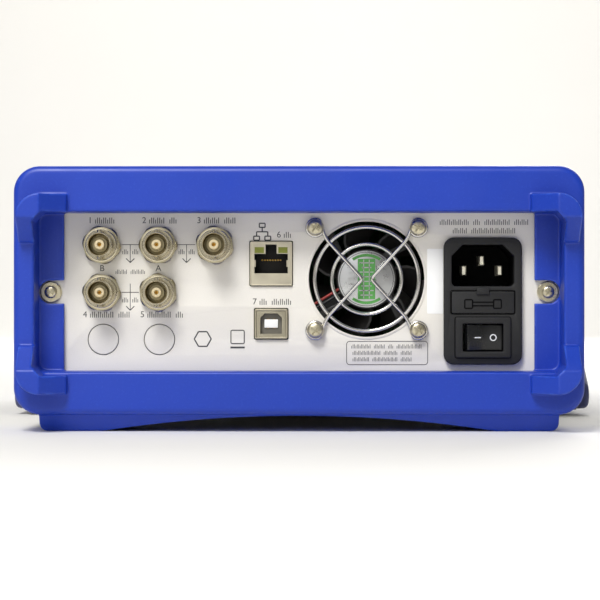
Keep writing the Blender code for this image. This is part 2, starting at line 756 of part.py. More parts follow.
def build_keys(material):
    """Keys that pass through the front panel, each with a flange behind it and a plunger."""
    wall = FRONT_WALL
    for name, ((column, height), half) in key_list().items():
        corner = 0.0012 if half[0] > half[1] else 0.0022
        cap = rounded_box(half, corner, steps=1)
        flange = rounded_box(shrunk(half, -0.001), corner, steps=1)
        stem = rounded_box(shrunk(half, 0.0022), 0.0006, steps=1)
        sections = [
            (wall + 0.0034, stem),
            (wall + 0.0014, stem),
            (wall + 0.0014, flange),
            (wall + GAP, flange),
            (wall + GAP, cap),
            (-0.0018, cap),
            (-0.0024, rounded_box(shrunk(half, 0.0007), corner, steps=1)),
        ]
        add_piece(name, loft(sections), material, (column, FRONT_FACE, height))


def build_front_panel(material):
    low, high = FRONT_BOTTOM, FRONT_TOP
    outer = rounded_box((FRONT_HALF_WIDTH, (high - low) / 2), 0.0057, (0, (low + high) / 2))
    inner = rounded_box((FRONT_HALF_WIDTH - FRONT_WALL, (high - low) / 2 - FRONT_WALL), 0.0032,
                        (0, (low + high) / 2))
    back = -SHELL_END - GAP
    panel = add_piece("front_panel", prism(outer, FRONT_FACE, back), material)
    combine(panel, "DIFFERENCE", prism(inner, FRONT_FACE + FRONT_WALL, 0))
    holes = [rounded_box(shrunk(WINDOW_HALF, -GAP), 0.0015, WINDOW_CENTRE, 2)]
    holes.append(circle(0.0052, 16, KNOB_CENTRE))
    sockets = [(column, FRONT_SOCKET_HEIGHT) for column in FRONT_SOCKET_COLUMNS.values()]
    holes += [circle(0.0045 + GAP, 16, place) for place in sockets]
    for place, half in key_list().values():
        corner = 0.0012 if half[0] > half[1] else 0.0022
        holes.append(rounded_box(shrunk(half, -GAP), corner + GAP, place, 1))
    cuts = [prism(hole, 2 * FRONT_FACE, FRONT_FACE + 2 * FRONT_WALL) for hole in holes]
    combine(panel, "DIFFERENCE", merged(cuts))


def build_front_parts(materials):
    """The display, knob and encoder behind and on the front panel."""
    pane = rounded_box(WINDOW_HALF, 0.0012, WINDOW_CENTRE, 2)
    add_piece("display_window", prism(pane, FRONT_FACE + 0.0004, FRONT_FACE + 0.0020), materials["glass"])
    wall_back = FRONT_FACE + FRONT_WALL
    module = rounded_box(shrunk(WINDOW_HALF, -0.0015), 0.001, WINDOW_CENTRE, 1)
    add_piece("lcd_module", prism(module, wall_back + GAP, wall_back + 0.0050), materials["black"])
    board_face = wall_back + 0.0060
    board = rounded_box((0.0985, 0.0368), 0.002, (0, (FRONT_BOTTOM + FRONT_TOP) / 2), 1)
    add_piece("front_board", prism(board, board_face, board_face + 0.0016), materials["board"])
    place = (KNOB_CENTRE[0], FRONT_FACE, KNOB_CENTRE[1])
    body = rounded_box((0.0065, 0.0065), 0.001, steps=4)
    bush, spindle = circle(0.0048, 20), 0.0030
    sections = [
        (FRONT_WALL + 0.0055, body),
        (FRONT_WALL + GAP, body),
        (FRONT_WALL + GAP, bush),
        (0.0006, bush),
    ]
    encoder = add_piece("encoder", loft(sections), materials["metal"], place)
    combine(encoder, "DIFFERENCE", prism(circle(spindle + GAP, 14), -0.01, FRONT_WALL + 0.0045))
    reach = FRONT_FACE - KNOB_FRONT
    profile = [
        (FRONT_WALL + 0.0040, spindle),
        (-GAP, spindle),
        (-GAP, KNOB_RADIUS),
        (-0.0022, KNOB_RADIUS),
        (-0.0030, KNOB_RADIUS * 0.9),
        (-reach + 0.0012, KNOB_RADIUS * 0.86),
        (-reach, KNOB_RADIUS * 0.79),
    ]
    knob_axis = add_pivot("knob_axis", place)
    add_piece("knob", turned(profile, 28), materials["key"], parent=knob_axis)


# ---------------------------------------------------------------- inside the case


def board_blank(name, material, board, margin):
    """A board with its four posts, joined to it. Gives the piece and the height of the board's top."""
    (left, front), (right, back), rise = board
    floor = CASE_BOTTOM + SHEET + GAP
    low = floor + rise
    top = low + BOARD_THICKNESS
    piece = add_piece(name, box((left, front, low), (right, back, top)), material)
    corners = [(x, y) for x in (left + margin, right - margin) for y in (front + margin, back - margin)]
    post = [(floor, POST_RADIUS), (low + 0.0004, POST_RADIUS)]
    combine(piece, "UNION", merged([turned(post, 8, corner, "Z") for corner in corners]))
    return piece, top


def build_boards(materials):
    """The main board and the power supply board, with their larger components."""
    board, top = board_blank("main_board", materials["board"], MAIN_BOARD, 0.008)
    chips = []
    for x, y, size in CHIPS:
        half = size / 2
        chips.append(box((x - half, y - half, top - 0.0006), (x + half, y + half, top + 0.0024)))
    combine(board, "UNION", merged(chips))
    board, top = board_blank("power_board", materials["board"], POWER_BOARD, 0.004)
    can = [(top - 0.0006, CAPACITOR_RADIUS), (top + CAPACITOR_HEIGHT, CAPACITOR_RADIUS)]
    combine(board, "UNION", merged([turned(can, 14, place, "Z") for place in CAPACITORS]))
    build_supply_parts(materials, top + GAP)


def build_supply_parts(materials, floor):
    """The mains transformer and the finned heat sink that stand on the power supply board."""
    core = box((-0.092, -0.040, floor + 0.006), (-0.044, 0.006, floor + 0.038))
    transformer = add_piece("transformer", core, materials["metal"])
    winding = box((-0.084, -0.046, floor), (-0.052, 0.012, floor + 0.034))
    combine(transformer, "UNION", winding)
    fins = 7
    pitch, fin = 0.0052, 0.0018
    left = -0.086
    outline = [(left + pitch * (fins - 1) + fin, floor), (left, floor)]
    for index in range(fins):
        edge = left + pitch * index
        outline += [(edge, floor + 0.030), (edge + fin, floor + 0.030)]
        if index + 1 < fins:
            outline += [(edge + fin, floor + 0.004), (edge + pitch, floor + 0.004)]
    add_piece("heatsink", prism(outline, 0.028, 0.070), materials["metal"])


# ---------------------------------------------------------------- handle


def arm_outline(inset):
    """An arm of the handle from the side: a large eye at its pivot, tapering to the grip."""
    reach = HANDLE_GRIP - HANDLE_PIVOT
    length = math.hypot(reach.y, reach.z)
    lean = math.degrees(math.atan2(reach.z, reach.y))
    eye, tip = HANDLE_EYE_RADIUS - inset, 0.0062 - inset
    tangent = math.degrees(math.acos((eye - tip) / length))
    end = (reach.y * 0.99, reach.z + 0.0028)
    around_eye = arc((0, 0), eye, lean + tangent, lean + 360 - tangent, 12)
    return around_eye + arc(end, tip, lean - tangent, lean + tangent, 6)


def build_handle(materials):
    pivot = add_pivot("handle_axis", HANDLE_PIVOT)
    grip = HANDLE_GRIP - HANDLE_PIVOT
    place = (grip.y, grip.z)
    wide = rounded_box((0.009, 0.0035), 0.0028, place)
    narrow = rounded_box((0.007, 0.0022), 0.0016, place)
    end, step = (HANDLE_INNER + HANDLE_OUTER) / 2, GRIP_HALF_LENGTH + 0.0015
    bar = [
        (-end, wide),
        (-step, wide),
        (-step, narrow),
        (step, narrow),
        (step, wide),
        (end, wide),
    ]
    frame = add_piece("handle_frame", loft(bar, "X"), materials["handle"], parent=pivot)
    for side in (-1, 1):
        sections = [
            (side * HANDLE_INNER, arm_outline(HANDLE_EDGE)),
            (side * (HANDLE_INNER + HANDLE_EDGE), arm_outline(0)),
            (side * (HANDLE_OUTER - HANDLE_EDGE), arm_outline(0)),
            (side * HANDLE_OUTER, arm_outline(HANDLE_EDGE)),
        ]
        combine(frame, "UNION", loft(sections, "X"))
    bore = prism(circle(HANDLE_BORE_RADIUS, 24), -2 * HANDLE_OUTER, 2 * HANDLE_OUTER, "X")
    combine(frame, "DIFFERENCE", bore)
    outer = rounded_box((0.0093, 0.0038), 0.003, place)
    inner = rounded_box((0.0073, 0.0025), 0.0019, place)
    half = GRIP_HALF_LENGTH
    sleeve = loft([(-half, outer), (half, outer), (half, inner), (-half, inner)], "X", closed=True)
    add_piece("handle_grip", sleeve, materials["rubber"], parent=pivot)
    for name, side in (("handle_pivot_left", -1), ("handle_pivot_right", 1)):
        profile = [
            (side * (CASE_HALF_WIDTH + GAP), PIVOT_RADIUS),
            (side * (HANDLE_INNER - GAP), PIVOT_RADIUS),
            (side * (HANDLE_INNER - GAP), HANDLE_BORE_RADIUS - GAP),
            (side * (HANDLE_OUTER - HANDLE_EDGE), HANDLE_BORE_RADIUS - GAP),
        ]
        add_piece(name, turned(profile, 24, axis="X"), materials["handle"], HANDLE_PIVOT)


# ---------------------------------------------------------------- the whole


def clear_scene():
    for item in list(bpy.data.objects):
        bpy.data.objects.remove(item, do_unlink=True)


def make_materials():
    return {
        "bumper": look("blue_rubber", (0.022, 0.075, 0.53), 0.45),
        "sheet": look("case_paint", (0.55, 0.55, 0.53), 0.5),
        "panel": look("panel_paint", (0.72, 0.71, 0.69), 0.45),
        "front": look("front_moulding", (0.62, 0.62, 0.60), 0.5),
        "key": look("key_plastic", (0.20, 0.21, 0.23), 0.5),
        "handle": look("handle_plastic", (0.045, 0.055, 0.17), 0.45),
        "rubber": look("soft_grip", (0.03, 0.03, 0.035), 0.7),
        "nickel": look("nickel_plate", (0.55, 0.51, 0.42), 0.25, 1.0),
        "brass": look("inlet_brass", (0.60, 0.52, 0.33), 0.3, 1.0),
        "metal": look("plain_metal", (0.50, 0.50, 0.50), 0.4, 1.0),
        "black": look("black_plastic", (0.02, 0.02, 0.02), 0.5),
        "inlet": look("inlet_plastic", (0.030, 0.033, 0.036), 0.4),
        "rocker": look("rocker_plastic", (0.012, 0.013, 0.014), 0.3),
        "board": look("circuit_board", (0.02, 0.16, 0.07), 0.5),
        "glass": look("window_glass", (0.10, 0.13, 0.16), 0.08),
    }


def build_sockets(material):
    turns = (12, 30, 22, 8, 26)
    for index, ((column, height), turn) in enumerate(zip(socket_places(), turns), start=1):
        add_coaxial_socket(f"rear_bnc_{index}", material, column, height, REAR_FACE, 1, turn)
    for name, column in FRONT_SOCKET_COLUMNS.items():
        add_coaxial_socket(name, material, column, FRONT_SOCKET_HEIGHT, FRONT_FACE, -1, 30)


def main():
    clear_scene()
    materials = make_materials()
    build_case(materials)
    build_rear_panel(materials["panel"])
    build_front_panel(materials["front"])
    build_front_bumper(materials["bumper"])
    build_rear_bumper(materials["bumper"])
    build_sockets(materials["nickel"])
    add_case_screws(materials["nickel"])
    build_blanking_discs(materials["panel"])
    build_lan_jack(materials["metal"])
    build_usb_socket(materials["metal"])
    build_fan(materials)
    build_fan_guard(materials["metal"])
    build_fan_screws(materials["nickel"])
    build_inlet(materials)
    build_front_parts(materials)
    build_keys(materials["key"])
    build_boards(materials)
    build_handle(materials)


main()
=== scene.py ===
"""Looks for the bench function generator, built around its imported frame.

The rear panel faces +Y and the front panel -Y. Lengths are in millimetres until a mesh is made, and
places across a panel are (x, z)."""

import math
from collections import namedtuple

import bmesh
import bpy
from mathutils import Matrix, Vector


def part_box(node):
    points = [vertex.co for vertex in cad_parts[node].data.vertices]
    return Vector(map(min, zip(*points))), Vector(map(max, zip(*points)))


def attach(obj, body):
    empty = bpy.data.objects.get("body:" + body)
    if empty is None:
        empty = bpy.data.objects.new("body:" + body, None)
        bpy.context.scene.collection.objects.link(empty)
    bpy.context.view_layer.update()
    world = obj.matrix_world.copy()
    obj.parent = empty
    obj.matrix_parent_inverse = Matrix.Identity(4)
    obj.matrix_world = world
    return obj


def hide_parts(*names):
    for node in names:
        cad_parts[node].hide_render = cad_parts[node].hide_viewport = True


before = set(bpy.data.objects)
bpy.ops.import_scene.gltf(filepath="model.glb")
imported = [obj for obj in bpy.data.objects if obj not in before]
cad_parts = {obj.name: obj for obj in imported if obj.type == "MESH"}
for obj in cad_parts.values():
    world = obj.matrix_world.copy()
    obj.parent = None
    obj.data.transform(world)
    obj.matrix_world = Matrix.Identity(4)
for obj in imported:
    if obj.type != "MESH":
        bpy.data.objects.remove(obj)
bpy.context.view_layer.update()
MM = 0.001
Point = namedtuple("Point", "x y z")


def span(node):
    """A node's low and high corners."""
    return [Point(*[value / MM for value in corner]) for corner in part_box(node)]


def middle(node):
    return Point(*[(a + b) / 2 for a, b in zip(*span(node))])


def across(node):
    """A node's centre across the panels, as (x, z)."""
    centre = middle(node)
    return (centre.x, centre.z)


def half_size(node, more=0.0):
    """Half of a node's width and height across the panels, with a margin."""
    low, high = span(node)
    return ((high.x - low.x) / 2 + more, (high.z - low.z) / 2 + more)


REAR = span("rear_panel")[1].y
FRONT = span("front_panel")[0].y
ON_REAR = REAR + 0.04


# ---- materials


def srgb(*channels):
    """A display colour, 0 to 255, as linear light."""
    shares = [channel / 255 for channel in channels]
    linear = [share / 12.92 if share <= 0.04045 else ((share + 0.055) / 1.055) ** 2.4 for share in shares]
    return (*linear, 1.0)


def scaled(colour, factor):
    return (*[min(1.0, channel * factor) for channel in colour[:3]], 1.0)


class Finish:
    """A procedural material, put together one layer at a time."""

    def __init__(self, name, roughness, metallic=0.0):
        self.material = bpy.data.materials.new(name)
        self.material.use_nodes = True
        self.tree = self.material.node_tree
        self.shader = self.tree.nodes["Principled BSDF"]
        self.roughness = roughness
        self.set(Metallic=metallic, Roughness=roughness)
        self.coords = self.node("ShaderNodeTexCoord").outputs["Object"]

    def set(self, **values):
        for key, value in values.items():
            self.shader.inputs[key.replace("_", " ")].default_value = value
        return self

    def node(self, kind, inputs=(), **settings):
        made = self.tree.nodes.new(kind)
        for key, value in settings.items():
            setattr(made, key, value)
        for key, value in dict(inputs).items():
            made.inputs[key].default_value = value
        return made

    def link(self, source, target):
        self.tree.links.new(source, target)

    def paint(self, colour):
        """Links a colour to the shader as its base colour."""
        self.base = colour
        self.link(colour, self.shader.inputs["Base Color"])
        return self

    def noise(self, scale, detail=3.0, stretch=(1, 1, 1)):
        """A noise in object space, 0 to 1."""
        mapping = self.node("ShaderNodeMapping", {"Scale": stretch})
        self.link(self.coords, mapping.inputs["Vector"])
        noise = self.node("ShaderNodeTexNoise", {"Scale": scale, "Detail": detail})
        self.link(mapping.outputs["Vector"], noise.inputs["Vector"])
        return noise.outputs["Fac"]

    def spread(self, value, low, high, start=0.3, end=0.7):
        """A value mapped from a middle range onto low..high."""
        ends = {"From Min": start, "From Max": end, "To Min": low, "To Max": high}
        mapped = self.node("ShaderNodeMapRange", ends)
        self.link(value, mapped.inputs["Value"])
        return mapped.outputs["Result"]

    def blend(self, factor, first, second):
        mix = self.node("ShaderNodeMix", data_type="RGBA")
        self.link(factor, mix.inputs["Factor"])
        for socket, colour in ((6, first), (7, second)):
            if isinstance(colour, tuple):
                mix.inputs[socket].default_value = colour
            else:
                self.link(colour, mix.inputs[socket])
        return mix.outputs[2]

    def colour(self, colour, drift=0.06, scale=40.0):
        """A base colour that drifts a little, lighter and darker, over the surface."""
        factor = self.spread(self.noise(scale), 0.0, 1.0)
        return self.paint(self.blend(factor, scaled(colour, 1 - drift), scaled(colour, 1 + drift)))

    def speckle(self, colour, amount, scale):
        """Fine pigment grains in a second colour."""
        factor = self.spread(self.noise(scale, 1.0), 0.0, amount, 0.55, 0.75)
        return self.paint(self.blend(factor, self.base, colour))

    def painted_edge_highlight(self, colour, amount, start, end):
        """Painted highlight on convex edges, broken up by noise."""
        geometry = self.node("ShaderNodeNewGeometry")
        edge = self.spread(geometry.outputs["Pointiness"], 0.0, amount, start, end)
        patchy = self.spread(self.noise(260.0), 0.0, 1.0, 0.38, 0.6)
        both = self.node("ShaderNodeMath", operation="MULTIPLY")
        self.link(edge, both.inputs[0])
        self.link(patchy, both.inputs[1])
        return self.paint(self.blend(both.outputs["Value"], self.base, colour))

    def sheen_change(self, spread, scale=90.0):
        """Roughness that varies around its middle value."""
        varied = self.spread(self.noise(scale), self.roughness - spread, self.roughness + spread)
        self.link(varied, self.shader.inputs["Roughness"])
        return self

    def grain(self, scale, strength, height=0.00006, stretch=(1, 1, 1)):
        """Fine relief, its height in metres."""
        bump = self.node("ShaderNodeBump", {"Strength": strength, "Distance": height})
        self.link(self.noise(scale, 3.0, stretch), bump.inputs["Height"])
        self.link(bump.outputs["Normal"], self.shader.inputs["Normal"])
        return self


def plastic(name, colour, roughness, drift, grain, scale=2200.0):
    finish = Finish(name, roughness).colour(srgb(*colour), drift)
    return finish.sheen_change(0.06).grain(scale, grain).material


def metal(name, colour, roughness, drift, grain, spread=0.08, stretch=(1, 1, 1)):
    finish = Finish(name, roughness, 1.0).colour(srgb(*colour), drift, 160.0)
    return finish.sheen_change(spread, 300.0).grain(900.0, grain, 0.00003, stretch).material


def glowing(name, colour, strength):
    finish = Finish(name, 0.4).colour(srgb(*colour), 0.1, 600.0)
    finish.link(finish.base, finish.shader.inputs["Emission Color"])
    return finish.set(Emission_Strength=strength).material


def blue_rubber():
    """Dyed moulded rubber: satin, faintly mottled, with a painted highlight on its convex edges."""
    finish = Finish("blue_rubber", 0.42).colour(srgb(14, 56, 172), 0.05, 22.0)
    finish.speckle(srgb(40, 80, 194), 0.22, 900.0)
    # Paler blue on the convex edges: a painted highlight.
    finish.painted_edge_highlight(srgb(64, 110, 226), 0.6, 0.515, 0.56)
    return finish.sheen_change(0.07, 60.0).grain(1400.0, 0.12, 0.00005).material


def panel_paint():
    finish = Finish("panel_paint", 0.42).colour(srgb(232, 228, 219), 0.015, 14.0)
    return finish.speckle(srgb(212, 208, 200), 0.25, 3200.0).sheen_change(0.05).grain(3000.0, 0.10).material


def case_paint():
    finish = Finish("case_paint", 0.5).colour(srgb(208, 207, 202), 0.02, 12.0)
    finish.speckle(srgb(176, 175, 170), 0.45, 1500.0)
    return finish.sheen_change(0.06).grain(1300.0, 0.35, 0.00010).material


def tinted_glass():
    finish = Finish("window_glass", 0.04).colour(srgb(210, 216, 220), 0.02)
    return finish.sheen_change(0.02, 30.0).set(Transmission_Weight=0.9, IOR=1.45).material


def painted_shade_plastic():
    """The inlet's plastic made almost black and without a shine: painted shade in seams and wells."""
    finish = Finish("inlet_shadow_plastic", 0.8).colour(srgb(9, 9, 10), 0.06)
    return finish.set(Specular_IOR_Level=0.1).sheen_change(0.05).grain(1500.0, 0.15).material


def circuit_board():
    """Green solder mask with paler tracks under it."""
    finish = Finish("circuit_board", 0.35).colour(srgb(20, 92, 52), 0.12, 60.0)
    brick = finish.node("ShaderNodeTexBrick", {"Scale": 140.0, "Mortar Size": 0.02})
    finish.link(finish.coords, brick.inputs["Vector"])
    finish.paint(finish.blend(brick.outputs["Fac"], finish.base, srgb(70, 140, 84)))
    return finish.sheen_change(0.05).grain(900.0, 0.2).material


# Each look's material name, display colour, roughness, colour drift and grain.
PLASTICS = {
    "front": ("front_moulding", (214, 214, 209), 0.5, 0.02, 0.25, 1600.0),
    "print": ("panel_print", (70, 70, 70), 0.6, 0.10, 0.05),
    "pale_print": ("pale_print", (236, 238, 240), 0.5, 0.04, 0.05),
    "sticker": ("white_sticker", (250, 250, 248), 0.4, 0.01, 0.04),
    "insulator": ("socket_insulator", (206, 190, 154), 0.4, 0.04, 0.06),
    "white_plastic": ("white_tongue", (250, 250, 248), 0.35, 0.02, 0.05),
    "inlet": ("inlet_plastic", (20, 20, 21), 0.6, 0.06, 0.22, 1500.0),
    "rocker": ("rocker_plastic", (22, 23, 24), 0.30, 0.05, 0.06),
    "black": ("black_plastic", (30, 29, 28), 0.42, 0.10, 0.15),
    "grey_plastic": ("socket_grey", (112, 108, 98), 0.5, 0.05, 0.12),
    "handle": ("handle_plastic", (58, 64, 112), 0.45, 0.05, 0.25, 1300.0),
    "grip": ("soft_grip", (40, 40, 43), 0.65, 0.08, 0.35, 700.0),
    "knob": ("knob_plastic", (102, 105, 112), 0.42, 0.05, 0.18),
    "key": ("key_rubber", (150, 153, 158), 0.5, 0.03, 0.18),
    "output_key": ("output_key_rubber", (66, 98, 196), 0.45, 0.04, 0.18),
    "standby_key": ("standby_key_rubber", (188, 192, 188), 0.45, 0.03, 0.18),
    "red_wire": ("red_wire", (150, 44, 36), 0.4, 0.06, 0.05),
    "black_wire": ("black_wire", (22, 22, 22), 0.4, 0.06, 0.05),
    "hub_green": ("hub_label_green", (84, 156, 76), 0.42, 0.14, 0.05),
}
METALS = {
    "nickel": ("nickel_plate", (208, 199, 174), 0.22, 0.04, 0.01, 0.02),
    # A darker copy of the nickel for the nuts: painted shade behind the collars.
    "nut": ("nut_plate_painted_shade", (180, 171, 144), 0.28, 0.05, 0.01, 0.03),
    "steel": ("plated_wire", (214, 212, 206), 0.20, 0.05, 0.02, 0.03),
    "screw": ("screw_steel", (204, 196, 170), 0.30, 0.10, 0.05),
    "tin": ("tinned_shell", (206, 199, 178), 0.46, 0.05, 0.03),
    # A darker copy of the tin, with the same roughness, used for the USB socket.
    "darker_tin": ("darker_tin", (178, 171, 150), 0.46, 0.06, 0.05),
    "gold": ("gilt_contact", (226, 182, 92), 0.28, 0.08, 0.05),
    "aluminium": ("heatsink_aluminium", (206, 208, 210), 0.38, 0.05, 0.15, 0.08, (1, 14, 1)),
    # A darker, browner copy of the nickel: painted shade inside the sockets' bores.
    "socket_bore_painted_shade": ("socket_bore_painted_shade", (150, 140, 112), 0.45, 0.08, 0.05),
    "pin": ("pin_plate", (250, 245, 226), 0.42, 0.04, 0.03),
    "core": ("plain_metal", (168, 168, 166), 0.42, 0.10, 0.20, 0.08, (1, 1, 30)),
    "hub_silver": ("hub_label_silver", (196, 197, 198), 0.30, 0.05, 0.04),
}
LIT = {
    "led": ("port_light", (126, 132, 44), 0.05),
    "screen": ("screen_field", (16, 28, 46), 0.6),
    "screen_grid": ("screen_grid", (74, 98, 120), 0.7),
    "trace": ("screen_trace", (250, 214, 70), 1.6),
    "trace_b": ("screen_trace_b", (92, 214, 236), 1.4),
}
LOOKS = {
    "blue": blue_rubber(),
    "panel": panel_paint(),
    "case": case_paint(),
    "glass": tinted_glass(),
    "inlet_painted_shade": painted_shade_plastic(),
    "board": circuit_board(),
}
for table, maker in ((PLASTICS, plastic), (METALS, metal), (LIT, glowing)):
    LOOKS.update({look: maker(*row) for look, row in table.items()})

# The looks that go in each slot.
SLOT_LOOKS = {
    "blue_rubber": ("blue",),
    "panel_paint": ("panel", "sticker"),
    "case_paint": ("case",),
    "nickel_plate": ("nickel", "nut", "socket_bore_painted_shade", "insulator", "gold", "screw"),
    "bright_wire": ("steel",),
    "tin_shell": ("tin", "darker_tin", "grey_plastic", "white_plastic", "led"),
    "inlet_plastic": ("inlet", "inlet_painted_shade"),
    "inlet_brass": ("pin",),
    "rocker_plastic": ("rocker",),
    "front_moulding": ("front",),
    "key_rubber": ("key",),
    "output_key_rubber": ("output_key",),
    "standby_key_rubber": ("standby_key",),
    "knob_plastic": ("knob",),
    "handle_plastic": ("handle",),
    "soft_grip": ("grip",),
}
SLOTS = {look: slot for slot, looks in SLOT_LOOKS.items() for look in looks}


# ---- outlines and solids


def arc(centre, radius, start, end, steps):
    turns = [math.radians(start + (end - start) * step / steps) for step in range(steps + 1)]
    return [(centre[0] + radius * math.cos(turn), centre[1] + radius * math.sin(turn)) for turn in turns]


def circle(radius, steps=64, centre=(0, 0)):
    return arc(centre, radius, 0, 360, steps)[:-1]


def rectangle(low, high):
    return [(low[0], low[1]), (high[0], low[1]), (high[0], high[1]), (low[0], high[1])]


def rounded_box(half, radius, centre=(0, 0), steps=8):
    points = []
    for quarter, (side_a, side_b) in enumerate(((1, 1), (-1, 1), (-1, -1), (1, -1))):
        corner = (centre[0] + side_a * (half[0] - radius), centre[1] + side_b * (half[1] - radius))
        points += arc(corner, radius, 90 * quarter, 90 * quarter + 90, steps)
    return points


def shifted(outline, centre):
    return [(a + centre[0], b + centre[1]) for a, b in outline]


def plug_top(half, chamfer):
    """The upper corners of a plug's outline, cut off."""
    a, b = half
    return [(a, b - chamfer), (a - chamfer, b), (chamfer - a, b), (-a, b - chamfer)]


def outward(profile, face, out=1):
    """A profile whose depths count outwards from a face."""
    return [(face + out * depth, radius) for depth, radius in profile]


def located(axis, a, b, depth):
    """A place across an axis and a depth along it, as a point in metres."""
    point = {"X": (depth, a, b), "Y": (a, depth, b), "Z": (a, b, depth)}[axis]
    return [value * MM for value in point]


def loft(sections, axis="Y", closed=False):
    mesh = bmesh.new()
    rings = [[mesh.verts.new(located(axis, a, b, depth)) for a, b in outline] for depth, outline in sections]
    if closed:
        rings.append(rings[0])
    else:
        mesh.faces.new(rings[0])
        mesh.faces.new(rings[-1])
    for ring, following in zip(rings, rings[1:]):
        for corner in range(len(ring)):
            mesh.faces.new((ring[corner - 1], ring[corner], following[corner], following[corner - 1]))
    bmesh.ops.recalc_face_normals(mesh, faces=mesh.faces)
    return mesh


def prism(outline, low, high, axis="Y"):
    return loft([(low, outline), (high, outline)], axis)


def box(low, high):
    return prism(rectangle((low[0], low[2]), (high[0], high[2])), low[1], high[1])


def block(centre, size):
    low, high = ([place + sign * length / 2 for place, length in zip(centre, size)] for sign in (-1, 1))
    return box(low, high)


def turned(profile, steps=64, centre=(0, 0), axis="Y", closed=False):
    return loft([(depth, circle(radius, steps, centre)) for depth, radius in profile], axis, closed)


def merged(meshes):
    whole = bmesh.new()
    for mesh in meshes:
        data = bpy.data.meshes.new("piece")
        mesh.to_mesh(data)
        mesh.free()
        whole.from_mesh(data)
        bpy.data.meshes.remove(data)
    return whole


# ---- pieces


def link_object(name, data):
    item = bpy.data.objects.new(name, data)
    bpy.context.scene.collection.objects.link(item)
    return item


def solid(name, mesh):
    """An object from a bmesh, which it uses up."""
    data = bpy.data.meshes.new(name)
    mesh.to_mesh(data)
    mesh.free()
    return link_object(name, data)


def evaluated(item):
    """The mesh of an object with its modifiers or its curve bevel applied."""
    graph = bpy.context.evaluated_depsgraph_get()
    return bpy.data.meshes.new_from_object(item.evaluated_get(graph), depsgraph=graph)


def traced(curve):
    """The mesh that a curve makes."""
    holder = link_object("outline", curve)
    data = evaluated(holder)
    bpy.data.objects.remove(holder, do_unlink=True)
    return data


def modify(item, kind, **settings):
    modifier = item.modifiers.new(kind.lower(), kind)
    for key, value in settings.items():
        setattr(modifier, key, value)


def apply_modifiers(item):
    data = evaluated(item)
    item.modifiers.clear()
    item.data = data


def combine(item, operation, mesh):
    """Joins a mesh to an object or cuts it out."""
    tool = solid("tool", mesh)
    modify(item, "BOOLEAN", operation=operation, object=tool, solver="EXACT", use_self=True)
    apply_modifiers(item)
    bpy.data.objects.remove(tool, do_unlink=True)


def round_edges(item, width, segments):
    modify(item, "BEVEL", width=width * MM, segments=segments, limit_method="ANGLE",
           angle_limit=math.radians(35), use_clamp_overlap=True)
    apply_modifiers(item)


def soften(item, voxel, rounds, share):
    """Rounds every edge a little, as in a moulding, and keeps a share of the faces."""
    modify(item, "REMESH", mode="VOXEL", voxel_size=voxel * 1)
    modify(item, "SMOOTH", factor=0.5, iterations=rounds)
    modify(item, "DECIMATE", ratio=share)
    apply_modifiers(item)
    item.data.shade_smooth()


def smooth(data, angle=30):
    data.shade_smooth()
    data.set_sharp_from_angle(angle=math.radians(angle))


def settle(item, material, body="body", node=None):
    """Gives a piece its material and body, and hides the node that it stands for."""
    item.data.materials.clear()
    item.data.materials.append(LOOKS[material])
    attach(item, body)
    if node:
        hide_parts(node)


def piece(name, mesh, material, node=None, bevel=0.0, segments=3, cut=None, body="body", slot=None,
          move=None):
    """A piece from a bmesh, with rounded edges and an optional mesh cut out of it."""
    item = solid(name, mesh)
    if cut is not None:
        combine(item, "DIFFERENCE", cut)
    if bevel:
        round_edges(item, bevel, segments)
    if move is not None:
        item.data.transform(move)
    smooth(item.data)
    settle(item, material, body, node)


def plate(name, outlines, back, front, material, bevel=0.2, node=None, slot=None):
    """A plate across Y with rounded edges: its outline first, then its holes."""
    curve = bpy.data.curves.new(name, "CURVE")
    curve.dimensions = "2D"
    curve.fill_mode = "BOTH"
    curve.extrude = (abs(front - back) / 2 - bevel) * MM
    curve.bevel_depth = bevel * MM
    curve.bevel_resolution = 2
    curve.offset = -bevel * MM
    for outline in outlines:
        spline = curve.splines.new("POLY")
        spline.points.add(len(outline) - 1)
        for point, (a, b) in zip(spline.points, outline):
            point.co = (a * MM, b * MM, 0, 1)
        spline.use_cyclic_u = True
    data = traced(curve)
    data.transform(upright(0, (back + front) / 2, 0))
    mesh = bmesh.new()
    mesh.from_mesh(data)
    bmesh.ops.remove_doubles(mesh, verts=mesh.verts, dist=1e-6)
    bmesh.ops.recalc_face_normals(mesh, faces=mesh.faces)
    piece(name, mesh, material, node, slot=slot)


def upright(x, depth, z, turn=0.0):
    """Stands flat artwork up across Y at a place, and turns it about Z."""
    lift = Matrix.Rotation(turn, 4, "Z") @ Matrix.Rotation(math.pi / 2, 4, "X")
    return Matrix.Translation(located("Y", x, z, depth)) @ lift


def rod(name, points, radius, material, closed=False, node=None):
    """A round wire along points in space."""
    curve = bpy.data.curves.new(name, "CURVE")
    curve.dimensions = "3D"
    curve.bevel_depth = radius * MM
    curve.bevel_resolution = 4
    curve.use_fill_caps = True
    curve.resolution_u = 6
    spline = curve.splines.new("NURBS")
    spline.points.add(len(points) - 1)
    for point, (a, b, depth) in zip(spline.points, points):
        point.co = (*located("Y", a, b, depth), 1)
    spline.use_cyclic_u = closed
    spline.use_endpoint_u = not closed
    spline.order_u = 3
    item = link_object(name, traced(curve))
    item.data.name = name
    smooth(item.data, 60)
    settle(item, material, node=node)


def label(name, text, place, depth, size, turn=0.0):
    """Generic lettering as thin raised ink, turned about Z to face its panel's side."""
    curve = bpy.data.curves.new(name, "FONT")
    curve.body = text
    curve.size = size * MM
    curve.align_x = "CENTER"
    curve.align_y = "CENTER"
    curve.extrude = 0.02 * MM
    data = traced(curve)
    data.name = name
    data.transform(upright(place[0], depth, place[1], turn))
    settle(link_object(name, data), "print")


def ink(name, shapes, material="print", depth=ON_REAR, rise=0.03, **more):
    """Thin printed shapes across a panel, each an outline in (x, z)."""
    piece(name, merged([prism(shape, depth - rise, depth + rise) for shape in shapes]), material, **more)


